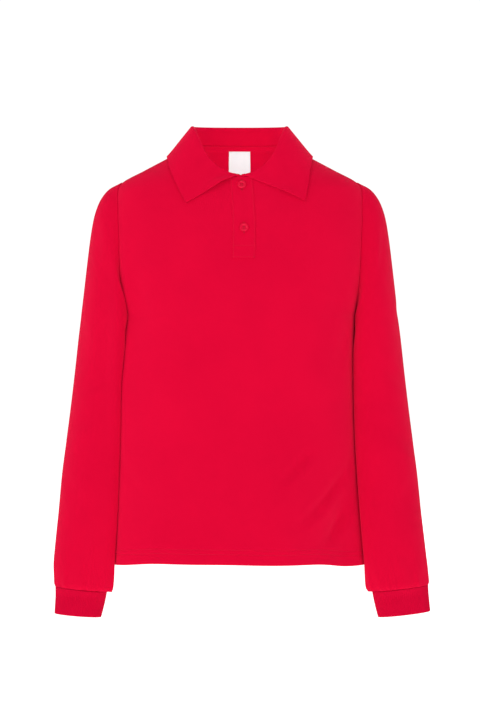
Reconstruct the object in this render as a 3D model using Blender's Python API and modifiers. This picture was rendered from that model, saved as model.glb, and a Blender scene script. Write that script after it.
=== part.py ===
"""Long-sleeve polo shirt for a child, filled out as on a dress form, with nobody in it.

Metres, +Z up. The front faces -Y and +X is the wearer's left. The origin is where the wearer's shoulders
carry the shirt: the middle of the neck opening, level with the inner ends of the shoulder seams.
Each piece that a maker cuts and sews on is one closed wall, lofted through rings worked out from the tables.
"""

import math
from types import SimpleNamespace

import bpy
from mathutils import Vector

# Cloth: how far apart sewn pieces stay, how much more where they curve differently, and how thick each cloth is
SEAM_GAP = 0.0003
EASE = 0.0002
PIQUE = 0.0015
RIB_KNIT = 0.0020
COLLAR_KNIT = 0.0018
STRIP_CLOTH = 0.0012
TAPE_CLOTH = 0.0010

# Neck, shoulder, armhole and hem
NECK_HALF_WIDTH = 0.069
NECK_FRONT_DROP = 0.0415
NECK_BACK_RISE = 0.002
NECK_CURVE = 1.5
CHEST_CURVE = 2.6
SHOULDER_TIP_X = 0.158
SHOULDER_SLOPE = 0.528
SHOULDER_TIP_Z = -(SHOULDER_TIP_X - NECK_HALF_WIDTH) * SHOULDER_SLOPE
ARMPIT_Z = -0.230
ARMHOLE_FRONT_DEPTH = 0.045
ARMHOLE_BACK_DEPTH = 0.042
ARMHOLE_ROUNDNESS = 2.4

# The two sides of the body, and the rows of each body panel below, beside and above the armhole
FRONT = -1
BACK = 1
LOWER_ROWS = 11
ARMHOLE_ROWS = 10
SHOULDER_ROWS = 5

# Placket, buttons, tape and label
PLACKET_WIDTH = 0.030
PLACKET_TOP_DROP = 0.0012
PLACKET_BOTTOM = -0.153
SLIT_BOTTOM = -0.146
BUTTON_RADIUS = 0.0058
BUTTON_THICKNESS = 0.0024
BUTTON_HEIGHTS = {"button_top": -0.0560, "button_second": -0.1130}
TAPE_ABOVE = 0.0050
TAPE_BELOW = 0.0022
TAPE_DIP = 0.0010
TAPE_FROM = math.radians(106)
TAPE_COLUMNS = 18
LABEL_WIDTH = 0.030
LABEL_TOP = -0.0007
LABEL_BOTTOM = -0.050

# Finishes, as base colour and roughness
RED_PIQUE = ("red_pique", (0.78, 0.004, 0.038), 0.90)
RED_RIB = ("red_rib", (0.76, 0.004, 0.036), 0.92)
RED_BUTTON = ("red_button", (0.72, 0.008, 0.040), 0.35)
WHITE_LABEL = ("white_label", (0.92, 0.93, 0.95), 0.70)


class Table:
    """A short table of sections. Between rows each column follows a smooth curve that never overshoots."""

    def __init__(self, columns, *rows):
        self.columns = columns.split()
        self.rows = sorted(rows)
        self.keys = [row[0] for row in self.rows]
        self.slopes = [self._column_slopes(c) for c in range(len(self.columns))]

    def _column_slopes(self, column):
        steps = []
        for below, above in zip(self.rows, self.rows[1:]):
            steps.append((above[column] - below[column]) / (above[0] - below[0]))
        slopes = [steps[0]]
        for left, right in zip(steps, steps[1:]):
            slopes.append(2 * left * right / (left + right) if left * right > 0 else 0.0)
        slopes.append(steps[-1])
        return slopes

    def at(self, key):
        key = min(max(key, self.keys[0]), self.keys[-1])
        i = max(k for k in range(len(self.keys) - 1) if self.keys[k] <= key)
        low, high = self.rows[i], self.rows[i + 1]
        span = high[0] - low[0]
        t = (key - low[0]) / span
        found = {}
        for c, name in enumerate(self.columns):
            rise = high[c] - low[c]
            start, end = self.slopes[c][i] * span, self.slopes[c][i + 1] * span
            found[name] = low[c] + t * (start + t * (3 * rise - 2 * start - end + t * (start + end - 2 * rise)))
        return SimpleNamespace(**found)


# Level sections of the body, hem to neck. Above the armpit the width is the one that the armhole is cut from.
TORSO = Table(
    "height half_width front_depth back_depth squareness",
    (-0.562, 0.1685, 0.1040, 0.0940, 2.35),
    (-0.500, 0.1640, 0.1050, 0.0930, 2.35),
    (-0.440, 0.1600, 0.1060, 0.0920, 2.35),
    (-0.380, 0.1570, 0.1065, 0.0910, 2.35),
    (-0.320, 0.1560, 0.1075, 0.0920, 2.35),
    (-0.270, 0.1555, 0.1085, 0.0940, 2.35),
    (ARMPIT_Z, 0.1560, 0.1090, 0.0960, 2.35),
    (-0.200, 0.1630, 0.1085, 0.0975, 2.30),
    (-0.165, 0.1700, 0.1065, 0.0985, 2.30),
    (-0.130, 0.1740, 0.1020, 0.0970, 2.25),
    (-0.100, 0.1755, 0.0955, 0.0930, 2.25),
    (-0.075, 0.1735, 0.0880, 0.0865, 2.20),
    (-0.058, 0.1680, 0.0810, 0.0800, 2.20),
    (SHOULDER_TIP_Z, SHOULDER_TIP_X, 0.0765, 0.0755, 2.15),
    (-0.031, 0.1287, 0.0690, 0.0690, 2.10),
    (-0.0155, 0.0994, 0.0610, 0.0605, 2.05),
    (0.000, NECK_HALF_WIDTH, 0.0530, 0.0525, 2.00),
    (0.006, 0.0600, 0.0495, 0.0490, 2.00),
)

# How far the middle of the front hangs towards the wearer's left.
FRONT_LEAN = Table(
    "height shift",
    (-0.320, 0.0000),
    (-0.200, 0.0040),
    (-0.113, 0.0058),
    (-0.056, 0.0028),
    (-0.035, 0.0010),
    (0.010, 0.0000),
)

# The hem's height along the half ring, from the middle (0) to the side seam (1).
HEM = {
    (FRONT, -1): Table("share height", (0, -0.5545), (0.35, -0.5540), (0.7, -0.5585), (1, -0.5605)),
    (FRONT, 1): Table("share height", (0, -0.5545), (0.35, -0.5550), (0.7, -0.5600), (1, -0.5605)),
    (BACK, -1): Table("share height", (0, -0.5590), (0.5, -0.5600), (1, -0.5605)),
    (BACK, 1): Table("share height", (0, -0.5590), (0.5, -0.5600), (1, -0.5605)),
}

# Rings of a sleeve from armhole to cuff seam: where the outer and inner edges of its front outline run, how far it
# reaches to the front and back of its middle, and how far that middle hangs forward.
SLEEVE = Table(
    "ring outer_x outer_z inner_x inner_z front back forward roundness",
    (0, SHOULDER_TIP_X, SHOULDER_TIP_Z, 0.1560, ARMPIT_Z, 0.0450, 0.0420, 0.000, 2.4),
    (1, 0.1748, -0.0550, 0.1574, -0.2345, 0.0478, 0.0450, 0.000, 2.4),
    (2, 0.1878, -0.0708, 0.1575, -0.2380, 0.0500, 0.0470, 0.000, 2.4),
    (3, 0.1962, -0.0935, 0.1576, -0.2420, 0.0515, 0.0485, 0.000, 2.4),
    (4, 0.2012, -0.1215, 0.1572, -0.2470, 0.0525, 0.0498, 0.000, 2.35),
    (5, 0.2048, -0.1500, 0.1568, -0.2530, 0.0532, 0.0510, 0.001, 2.3),
    (6, 0.2088, -0.1850, 0.1560, -0.2620, 0.0535, 0.0518, 0.002, 2.2),
    (7, 0.2130, -0.2220, 0.1548, -0.2750, 0.0532, 0.0518, 0.003, 2.15),
    (8, 0.2172, -0.2580, 0.1536, -0.2920, 0.0525, 0.0512, 0.004, 2.1),
    (9, 0.2215, -0.2980, 0.1530, -0.3180, 0.0510, 0.0500, 0.005, 2.1),
    (10, 0.2270, -0.3460, 0.1532, -0.3580, 0.0485, 0.0475, 0.007, 2.1),
    (11, 0.2330, -0.3940, 0.1546, -0.4030, 0.0450, 0.0445, 0.010, 2.1),
    (12, 0.2388, -0.4400, 0.1572, -0.4480, 0.0420, 0.0412, 0.013, 2.1),
    (13, 0.2432, -0.4870, 0.1608, -0.4950, 0.0385, 0.0378, 0.016, 2.1),
    (14, 0.2478, -0.5300, 0.1650, -0.5385, 0.0350, 0.0342, 0.018, 2.1),
    (15, 0.2508, -0.5640, 0.1692, -0.5725, 0.0318, 0.0310, 0.020, 2.1),
    (16, 0.2512, -0.5830, 0.1740, -0.5912, 0.0288, 0.0280, 0.021, 2.1),
    (17, 0.2503, -0.5878, 0.1768, -0.5960, 0.0262, 0.0255, 0.021, 2.1),
)
SLEEVE_EXTRA_RINGS = (9.5, 10.5, 11.5, 12.5, 13.5, 14.5)
CAP_RINGS = 6
SLEEVE_AIR = 0.0013

CUFF = Table(
    "ring outer_x outer_z inner_x inner_z front back forward roundness",
    (0, 0.2500, -0.5884, 0.1779, -0.5966, 0.0256, 0.0250, 0.021, 2.1),
    (1, 0.2501, -0.5980, 0.1796, -0.6060, 0.0215, 0.0210, 0.021, 2.1),
    (2, 0.2508, -0.6110, 0.1824, -0.6187, 0.0192, 0.0188, 0.022, 2.1),
    (3, 0.2517, -0.6235, 0.1855, -0.6308, 0.0185, 0.0182, 0.022, 2.1),
)

# The collar, from the front ends (0 degrees) round to the middle of the back (180): its stand, and its outer edge.
COLLAR = Table(
    "angle stand lean roll edge_x edge_z lift",
    (0, 0.0025, 0.00, 0.0021, 0.0760, -0.0745, 0.0022),
    (12, 0.0032, 0.03, 0.0021, 0.0798, -0.0670, 0.0015),
    (24, 0.0052, 0.08, 0.0022, 0.0836, -0.0585, 0.0010),
    (36, 0.0090, 0.15, 0.0023, 0.0870, -0.0500, 0.0008),
    (48, 0.0155, 0.22, 0.0025, 0.0900, -0.0415, 0.0008),
    (60, 0.0225, 0.27, 0.0026, 0.0925, -0.0330, 0.0008),
    (75, 0.0255, 0.28, 0.0027, 0.0952, -0.0230, 0.0008),
    (90, 0.0262, 0.28, 0.0028, 0.0968, -0.0150, 0.0008),
    (108, 0.0264, 0.28, 0.0028, 0.0905, -0.0120, 0.0010),
    (126, 0.0266, 0.28, 0.0028, 0.0765, -0.0115, 0.0015),
    (144, 0.0267, 0.28, 0.0028, 0.0560, -0.0118, 0.0020),
    (162, 0.0268, 0.28, 0.0028, 0.0295, -0.0125, 0.0025),
    (180, 0.0268, 0.28, 0.0028, 0.0000, -0.0130, 0.0025),
)
COLLAR_END_GAP = 0.0012
COLLAR_TIP_SHIFT = {1: (0.0059, -0.0026), -1: (-0.0033, -0.0053)}
COLLAR_TIP_REACH = math.radians(54)
COLLAR_STEP = 9
FALL_AIR = 0.0007
STAND_POINTS = 3
ROLL_POINTS = 5
FALL_POINTS = 6

# How much further out and up the lower end of each sleeve hangs than the tables say.
SLEEVE_HANG = {
    "left": Table(
        "height outward up",
        (-0.630, 0.0040, 0.0010),
        (-0.590, 0.0028, 0.0008),
        (-0.550, 0.0008, 0.0003),
        (-0.440, 0.0000, 0.0000),
    ),
    "right": Table(
        "height outward up",
        (-0.630, -0.0038, -0.0022),
        (-0.590, -0.0032, -0.0015),
        (-0.550, -0.0008, -0.0005),
        (-0.440, 0.0000, 0.0000),
    ),
}


def power(value, exponent):
    return math.copysign(abs(value) ** exponent, value)


def lerp(low, high, share):
    return low + (high - low) * share


def depth_of(section, side):
    return section.front_depth if side == FRONT else section.back_depth


def leaned(x, z, side):
    """The front's middle hangs a little to one side, and the side seams stay where they are."""
    if side == BACK:
        return x
    width = TORSO.at(z).half_width
    return x + FRONT_LEAN.at(z).shift * (1 - min(abs(x) / width, 1) ** 2)


def ring_point(z, angle, side):
    """A point of the body's level section, where angle 0 is the middle and a quarter turn the side seam."""
    section = TORSO.at(z)
    x = section.half_width * power(math.sin(angle), 2 / section.squareness)
    y = side * depth_of(section, side) * power(math.cos(angle), 2 / section.squareness)
    return Vector((leaned(x, z, side), y, z))


def surface_at(x, z, side):
    """The body's surface straight in front of or behind x, which is measured from the leaning middle line."""
    section = TORSO.at(z)
    rest = max(0.0, 1 - (abs(x) / section.half_width) ** section.squareness)
    return Vector((leaned(x, z, side), side * depth_of(section, side) * rest ** (1 / section.squareness), z))


def form_value(point):
    """Below 0 inside the body's form, 0 on it and above 0 outside."""
    side = FRONT if point.y <= 0 else BACK
    section = TORSO.at(point.z)
    x = point.x - (leaned(point.x, point.z, side) - point.x)
    across = (abs(x) / section.half_width) ** section.squareness
    through = (abs(point.y) / depth_of(section, side)) ** section.squareness
    return across + through - 1


def form_normal(point):
    """The outward normal of the body's form near a point, and how steeply the form's value rises along it."""
    step = 0.0002
    slope = Vector()
    for axis in range(3):
        ahead, behind = point.copy(), point.copy()
        ahead[axis] += step
        behind[axis] -= step
        slope[axis] = (form_value(ahead) - form_value(behind)) / (2 * step)
    return slope.normalized(), slope.length


def lifted_off(point, clearance, softness=0.0015):
    """The point, moved out so that it lies at least this far from the body's form."""
    for _ in range(4):
        normal, steepness = form_normal(point)
        distance = form_value(point) / steepness
        wanted = clearance + softness * math.log1p(math.exp((distance - clearance) / softness))
        if distance - clearance > 8 * softness:
            return point
        point = point + normal * (wanted - distance)
        softness = softness / 3
    return point


def neck_height(angle, side):
    middle = -NECK_FRONT_DROP if side == FRONT else NECK_BACK_RISE
    return middle * math.cos(angle) ** NECK_CURVE


def neck_ring_angle(angle, side):
    """Where on the level section the neck edge lies, for an angle round the neck opening."""
    section = TORSO.at(neck_height(angle, side))
    x = min(NECK_HALF_WIDTH * math.sin(angle) / section.half_width, 1)
    return math.asin(x ** (section.squareness / 2))


def neck_point(angle, side):
    return ring_point(neck_height(angle, side), neck_ring_angle(angle, side), side)


def armhole_share(turn):
    """How deep the armhole is at a turn round it, from its top (0) by its front or back to the armpit (pi)."""
    return math.sqrt(max(0.0, 1 - abs(math.cos(turn)) ** ARMHOLE_ROUNDNESS))


def armhole_height(turn):
    return lerp(ARMPIT_Z, SHOULDER_TIP_Z, (1 + math.cos(turn)) / 2)


def armhole_angle(turn, side):
    """The angle on the body's level section at which the armhole is cut."""
    section = TORSO.at(armhole_height(turn))
    reach = ARMHOLE_FRONT_DEPTH if side == FRONT else ARMHOLE_BACK_DEPTH
    share = reach * armhole_share(turn) / depth_of(section, side)
    return math.acos(share ** (section.squareness / 2))


def armhole_point(turn, side):
    return ring_point(armhole_height(turn), armhole_angle(turn, side), side)


def shell(name, grid, thickness, finish, closed=False, skip=None, offset=-1):
    """A piece of cloth: a lofted open surface through the grid's rows, made a wall by Solidify."""
    columns = len(grid[0])
    faces = []
    for i in range(len(grid) - 1):
        for j in range(columns if closed else columns - 1):
            if skip and skip(i, j):
                continue
            k = (j + 1) % columns
            faces.append([i * columns + j, i * columns + k, (i + 1) * columns + k, (i + 1) * columns + j])
    mesh = bpy.data.meshes.new(name)
    mesh.from_pydata([point for row in grid for point in row], [], faces)
    obj = placed(name, mesh, finish)
    wall = obj.modifiers.new("cloth", "SOLIDIFY")
    wall.thickness = thickness
    wall.offset = offset
    wall.use_even_offset = True
    return obj


def placed(name, mesh, finish):
    mesh.shade_smooth()
    mesh.set_sharp_from_angle(angle=math.radians(40))
    mesh.materials.append(material(*finish))
    obj = bpy.data.objects.new(name, mesh)
    shirt.objects.link(obj)
    return obj


def material(name, colour, roughness):
    found = bpy.data.materials.get(name)
    if found:
        return found
    made = bpy.data.materials.new(name)
    made.use_nodes = True
    shader = made.node_tree.nodes["Principled BSDF"]
    shader.inputs["Base Color"].default_value = (*colour, 1)
    shader.inputs["Roughness"].default_value = roughness
    shader.inputs["Metallic"].default_value = 0.0
    made.diffuse_color = (*colour, 1)
    return made


def body_rows(side):
    """The rows of a body panel from hem to neck: height in the middle, height at its edge, angle of its edge."""
    rows = [(None, i / LOWER_ROWS, math.pi / 2) for i in range(LOWER_ROWS + 1)]
    neck_middle = neck_height(0, side)
    above = ARMHOLE_ROWS + SHOULDER_ROWS
    for k in range(1, above + 1):
        middle = lerp(ARMPIT_Z, neck_middle, k / above)
        if k <= ARMHOLE_ROWS:
            turn = math.pi * (1 - k / ARMHOLE_ROWS)
            rows.append((middle, armhole_height(turn), armhole_angle(turn, side)))
        else:
            edge = lerp(SHOULDER_TIP_Z, 0, (k - ARMHOLE_ROWS) / SHOULDER_ROWS)
            rows.append((middle, edge, math.pi / 2))
    return rows


def body_point(row, share, rise, side):
    """A point of a body panel, where share runs from the middle (0) to the side, armhole or shoulder seam (1)."""
    middle, edge, edge_angle = row
    across = abs(share)
    if middle is None:
        hem = HEM[side, 1 if share >= 0 else -1].at(across).height
        z = lerp(hem, ARMPIT_Z, edge)
        angle = across * edge_angle
    else:
        turn = across * math.pi / 2
        neck_share = neck_ring_angle(turn, side) / (math.pi / 2)
        z = lerp(edge, middle, math.cos(turn) ** lerp(CHEST_CURVE, NECK_CURVE, rise**4))
        angle = edge_angle * lerp(across, neck_share, rise * rise)
    point = ring_point(z, math.copysign(angle, share), side)
    if side == BACK:
        point.y = max(point.y, SEAM_GAP / 2)
    else:
        point.y = min(point.y, -SEAM_GAP / 2)
    return point


def body_panel(name, side, shares, skip=None):
    rows = body_rows(side)
    above = ARMHOLE_ROWS + SHOULDER_ROWS
    grid = []
    for i, row in enumerate(rows):
        rise = max(0, i - LOWER_ROWS) / above
        grid.append([body_point(row, share, rise, side) for share in shares])
    if side == BACK:
        grid = [line[::-1] for line in grid]
    shell(name, grid, PIQUE, RED_PIQUE, skip=skip)


def front():
    """The front, cut down its middle for the placket."""
    half = (0.008, 0.070, 0.140, 0.230, 0.340, 0.460, 0.580, 0.700, 0.810, 0.910, 1.0)
    shares = [-s for s in reversed(half)] + list(half)
    slit_column = len(half) - 1
    rows = body_rows(FRONT)
    slit_row = next(i for i, row in enumerate(rows) if row[0] is not None and row[0] > SLIT_BOTTOM)
    body_panel("front", FRONT, shares, skip=lambda i, j: j == slit_column and i >= slit_row)


def back():
    half = (0.100, 0.200, 0.310, 0.420, 0.540, 0.650, 0.750, 0.840, 0.920, 1.0)
    body_panel("back", BACK, [-s for s in reversed(half)] + [0.0] + list(half))


def tube_ring(row, hand, turns, fitted=0.0, clearance=0.0):
    """A ring of a sleeve or cuff. The first sleeve rings are fitted to the armhole that they are sewn to."""
    hang = SLEEVE_HANG[hand].at(row.outer_z)
    outer = Vector((row.outer_x + hang.outward, -row.forward, row.outer_z + hang.up))
    inner = Vector((row.inner_x, -row.forward, row.inner_z))
    ring = []
    for turn in turns:
        side = FRONT if turn <= math.pi else BACK
        reach = row.front if side == FRONT else row.back
        share = math.sqrt(max(0.0, 1 - abs(math.cos(turn)) ** row.roundness))
        point = (outer + inner) / 2 + (outer - inner) / 2 * math.cos(turn)
        point.y += side * reach * share
        if fitted:
            short = turn if side == FRONT else 2 * math.pi - turn
            start = SLEEVE.at(0)
            plain = lerp(start.inner_x, start.outer_x, (1 + math.cos(short)) / 2)
            point.x += (armhole_point(short, side).x - plain + SEAM_GAP + EASE) * fitted
        ring.append(lifted_off(point, clearance) if clearance else point)
        ring[-1].x *= 1 if hand == "left" else -1
    return ring


def sleeve(hand):
    """A sleeve: its cap is sewn round the armhole, and the tube hangs down beside the body to the cuff seam."""
    turns = [math.pi * k / ARMHOLE_ROWS for k in range(2 * ARMHOLE_ROWS)]
    stations = sorted([row[0] for row in SLEEVE.rows] + list(SLEEVE_EXTRA_RINGS))
    grid = []
    for station in stations:
        fitted = max(0.0, 1 - station / CAP_RINGS) ** 2
        clearance = SLEEVE_AIR * min(1, station / CAP_RINGS * 2)
        grid.append(tube_ring(SLEEVE.at(station), hand, turns, fitted, clearance))
    if hand == "right":
        grid = [line[::-1] for line in grid]
    grid = [line[::-1] for line in grid][::-1]
    shell("sleeve_" + hand, grid, PIQUE, RED_PIQUE, closed=True)


def cuff(hand):
    """A rib-knit cuff, sewn to the sleeve's gathered end."""
    turns = [math.pi * k / ARMHOLE_ROWS for k in range(2 * ARMHOLE_ROWS)]
    grid = [tube_ring(CUFF.at(station), hand, turns) for station in (0, 0.5, 1, 2, 3)]
    if hand == "right":
        grid = [line[::-1] for line in grid]
    grid = [line[::-1] for line in grid][::-1]
    shell("cuff_" + hand, grid, RIB_KNIT, RED_RIB, closed=True)


def collar_profile(angle, hand):
    """The collar's middle line at one place round the neck: up the stand, over the roll and down the fall."""
    row = COLLAR.at(math.degrees(angle))
    side = FRONT if angle <= math.pi / 2 else BACK
    round_neck = angle if side == FRONT else math.pi - angle
    edge = neck_point(round_neck, side)
    normal = form_normal(edge)[0]
    ahead, behind = min(round_neck + 0.02, math.pi / 2), max(round_neck - 0.02, 0)
    along = neck_point(ahead, side) - neck_point(behind, side)
    upward = normal.cross(along).normalized()
    upward *= math.copysign(1, upward.z)
    inward = Vector((-math.sin(angle), math.cos(angle), 0))
    clear = SEAM_GAP + EASE / 2 + COLLAR_KNIT / 2 * abs(upward.dot(inward))
    foot = edge - normal * PIQUE / 2 + upward * clear
    if side == FRONT:
        lean = leaned(0, foot.z, side)
        foot.x = lean + max(foot.x - lean, COLLAR_END_GAP)
    elif angle > math.pi - 0.01:
        foot.x = 0.0
    up = (Vector((0, 0, 1)) + inward * row.lean).normalized()
    stand = foot + up * row.stand
    towards_tip = max(0.0, 1 - angle / COLLAR_TIP_REACH)
    shift_x, shift_z = COLLAR_TIP_SHIFT[hand]
    edge = surface_at(row.edge_x + shift_x * towards_tip, row.edge_z + shift_z * towards_tip, side)
    edge = lifted_off(edge, COLLAR_KNIT / 2 + SEAM_GAP + row.lift + FALL_AIR)
    fall = (edge - stand).normalized()
    for _ in range(6):
        out = (fall - up * fall.dot(up)).normalized()
        sweep = math.acos(max(-1, min(1, fall.dot(up))))
        centre = stand + out * row.roll
        below = centre - out * row.roll * math.cos(sweep) + up * row.roll * math.sin(sweep)
        fall = (edge - below).normalized()
    points = [foot.lerp(stand, k / (STAND_POINTS - 1)) for k in range(STAND_POINTS)]
    for k in range(1, ROLL_POINTS + 1):
        turn = sweep * k / ROLL_POINTS
        points.append(centre - out * row.roll * math.cos(turn) + up * row.roll * math.sin(turn))
    for k in range(1, FALL_POINTS + 1):
        share = k / FALL_POINTS
        point = below.lerp(edge, share)
        over_placket = max(0.0, 1 - (abs(point.x) / 0.034) ** 4) if side == FRONT else 0.0
        clearance = COLLAR_KNIT / 2 + SEAM_GAP + FALL_AIR + (STRIP_CLOTH + SEAM_GAP) * over_placket
        points.append(lifted_off(point, clearance * min(1, 0.4 + share * 2)))
    if hand < 0:
        points = [Vector((-p.x, p.y, p.z)) for p in points]
        if side == FRONT:
            for p in points:
                p.x += 2 * (leaned(0, p.z, FRONT)) * max(0.0, 1 - (abs(p.x) / 0.15) ** 2)
    return points


def collar():
    """The flat-knit collar, one band that stands up at the neck and folds over outwards."""
    angles = [math.radians(k) for k in range(0, 181, COLLAR_STEP)]
    lines = [collar_profile(a, -1) for a in angles] + [collar_profile(a, 1) for a in reversed(angles[:-1])]
    grid = [list(column) for column in zip(*lines)]
    shell("collar", grid, COLLAR_KNIT, RED_RIB, offset=0)


def strip(name, offset, bottom, top, finish, thickness, width, side=FRONT, columns=4, rows=9):
    """A flat strip that lies on a body panel: the panel's points, moved out or in by the offset."""
    grid = []
    for i in range(rows + 1):
        z = lerp(bottom, top, i / rows)
        line = [surface_at(lerp(-width / 2, width / 2, j / columns), z, side) for j in range(columns + 1)]
        if side == BACK:
            line.reverse()
        grid.append([p + form_normal(p)[0] * offset for p in line])
    shell(name, grid, thickness, finish)


def placket():
    """Two strips round the front's slit: the upper one lies on the front and the lower one inside it."""
    top = neck_height(0, FRONT) - PLACKET_TOP_DROP
    strip("placket_upper", SEAM_GAP + STRIP_CLOTH, PLACKET_BOTTOM, top, RED_PIQUE, STRIP_CLOTH, PLACKET_WIDTH)
    strip("placket_lower", -PIQUE - SEAM_GAP - EASE, PLACKET_BOTTOM, top, RED_PIQUE, STRIP_CLOTH, PLACKET_WIDTH)


def button(name, height):
    """A turned button with a raised rim and a dished middle, lying on the upper placket."""
    rim = BUTTON_THICKNESS
    outline = [
        (0, rim * 0.62),
        (BUTTON_RADIUS * 0.55, rim * 0.62),
        (BUTTON_RADIUS * 0.70, rim),
        (BUTTON_RADIUS * 0.88, rim),
        (BUTTON_RADIUS, rim * 0.62),
        (BUTTON_RADIUS * 0.96, rim * 0.18),
        (BUTTON_RADIUS * 0.80, 0),
        (0, 0),
    ]
    mesh = bpy.data.meshes.new(name)
    edges = [(i, i + 1) for i in range(len(outline) - 1)]
    mesh.from_pydata([(x, 0, z) for x, z in outline], edges, [])
    obj = placed(name, mesh, RED_BUTTON)
    screw = obj.modifiers.new("turned", "SCREW")
    screw.steps = screw.render_steps = 20
    screw.use_merge_vertices = True
    screw.merge_threshold = 0.00001
    seat = surface_at(0, height, FRONT)
    normal = form_normal(seat)[0]
    obj.location = seat + normal * (2 * SEAM_GAP + STRIP_CLOTH + EASE / 2)
    obj.rotation_euler = normal.to_track_quat("Z", "Y").to_euler()
    return obj


def neck_tape():
    """The tape that covers the back neck seam inside: it lies on the collar's foot above and on the back below."""
    lines = []
    for k in range(TAPE_COLUMNS + 1):
        angle = lerp(TAPE_FROM, 2 * math.pi - TAPE_FROM, k / TAPE_COLUMNS)
        hand = 1 if angle <= math.pi else -1
        angle = angle if hand > 0 else 2 * math.pi - angle
        foot, stand = collar_profile(angle, 1)[:2]
        inward = Vector((-math.sin(angle), math.cos(angle), 0))
        inside = inward * (COLLAR_KNIT / 2 + SEAM_GAP + EASE / 2)
        above = foot + (stand - foot).normalized() * TAPE_ABOVE + inside
        seam = foot + inside - Vector((0, 0, TAPE_DIP))
        below = surface_at(foot.x, foot.z - TAPE_BELOW, BACK)
        below -= form_normal(below)[0] * (PIQUE + SEAM_GAP + EASE)
        lines.append([Vector((p.x * hand, p.y, p.z)) for p in (below, seam, above)])
    grid = [list(column) for column in zip(*lines)]
    shell("neck_tape", grid, TAPE_CLOTH, RED_PIQUE)


def neck_label():
    """The woven label that hangs from the tape inside the back neck."""
    offset = -PIQUE - TAPE_CLOTH - 3 * SEAM_GAP
    strip("neck_label", offset, LABEL_BOTTOM, LABEL_TOP, WHITE_LABEL, TAPE_CLOTH, LABEL_WIDTH, side=BACK, rows=5)


for old in list(bpy.data.objects):
    bpy.data.objects.remove(old)
shirt = bpy.data.collections.new("long_sleeve_polo_shirt")
bpy.context.scene.collection.children.link(shirt)

front()
back()
for wearers_side in ("left", "right"):
    sleeve(wearers_side)
    cuff(wearers_side)
collar()
placket()
for button_name, button_height in BUTTON_HEIGHTS.items():
    button(button_name, button_height)
neck_tape()
neck_label()
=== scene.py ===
import math
from types import SimpleNamespace

import bpy
import numpy as np
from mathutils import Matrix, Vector


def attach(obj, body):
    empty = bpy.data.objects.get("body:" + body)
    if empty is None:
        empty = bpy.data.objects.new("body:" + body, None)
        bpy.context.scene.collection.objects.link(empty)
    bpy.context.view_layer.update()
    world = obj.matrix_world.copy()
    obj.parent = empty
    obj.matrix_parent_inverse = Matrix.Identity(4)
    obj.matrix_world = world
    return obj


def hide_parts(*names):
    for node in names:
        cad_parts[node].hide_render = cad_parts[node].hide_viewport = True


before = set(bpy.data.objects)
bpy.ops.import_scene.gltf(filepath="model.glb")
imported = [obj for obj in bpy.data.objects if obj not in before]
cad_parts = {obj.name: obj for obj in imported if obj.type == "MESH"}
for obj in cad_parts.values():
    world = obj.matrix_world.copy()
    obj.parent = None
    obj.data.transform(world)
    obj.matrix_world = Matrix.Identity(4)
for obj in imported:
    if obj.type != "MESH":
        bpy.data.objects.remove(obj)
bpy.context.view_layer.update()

# Front and back: two panels of red cotton pique, cut from a flat knit and sewn together at the sides and
# shoulders with narrow seam allowances inside. The hem is turned up 20 mm and fixed by a twin needle.
# The shirt stands as filled by a wearer, so each panel follows level sections of a child's upper body.

FRONT = -1
BACK = 1
PIQUE = 0.0015
SEAM_GAP = 0.0002
LIFT_SOFTNESS = 0.0015
EASE = 0.0001

NECK_HALF_WIDTH = 0.069
NECK_FRONT_DROP = 0.0445
NECK_BACK_RISE = 0.002
NECK_CURVE = 1.5
CHEST_CURVE = 2.6
SHOULDER_TIP_X = 0.158
SHOULDER_SLOPE = 0.528
SHOULDER_TIP_Z = -(SHOULDER_TIP_X - NECK_HALF_WIDTH) * SHOULDER_SLOPE
ARMPIT_Z = -0.230
ARMHOLE_FRONT_DEPTH = 0.045
ARMHOLE_BACK_DEPTH = 0.042
ARMHOLE_ROUNDNESS = 2.4
ARMHOLE_SPAN = 2 / 3

PANEL_COLUMNS = 150
LOWER_ROWS = 104
UPPER_ROWS = 84
CLOSE_TO_SEAM = (0.0022, 0.0050, 0.0090, 0.0150)
SLIT_SHARE = 0.008
SLIT_BOTTOM = -0.146
HEM_DEPTH = 0.020
HEM_FOLD_RADIUS = 0.00155
HEM_FOLD_STEPS = 5
CLOSE_TO_HEM = (0.075, 26)
ALLOWANCE = (0.0007, 0.0022, 0.0050)
SEAM_DIP = 0.0002
SEAM_SOFTNESS = 0.0020

HEM_STITCHING = (0.0125, 0.0185)
STITCH_PITCH = 0.0033
STITCH_LENGTH = 0.0027
THREAD_RADIUS = 0.00023
THREAD_HEIGHT = THREAD_RADIUS * 0.4
STITCH_SINK = 0.00025
STITCH_PULL = 0.0011
PUCKER_PITCH = 0.0125
PUCKER_HEIGHT = 0.00022
PUCKER_REACH = 0.006
PUCKER_SHIFTS = ((37, 0, 1.8), (91, 2, 1.1))
PUCKER_SWELL = 23
RED_THREAD = (0.760, 0.0022, 0.0440, 1)

# The pique's red: the deeper one is painted shade in the hollows between the knit's cells and the darker
# random tone, the brighter one is painted light on the cell tops and the lighter random tone.
RED_DEEP_AND_HOLLOW_SHADE = (0.725, 0.0012, 0.0385, 1)
RED_BRIGHT_AND_CELL_TOP_LIGHT = (0.785, 0.0020, 0.0430, 1)
WALE_PITCH = 0.0016
COURSE_PITCH = 0.0013


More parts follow.
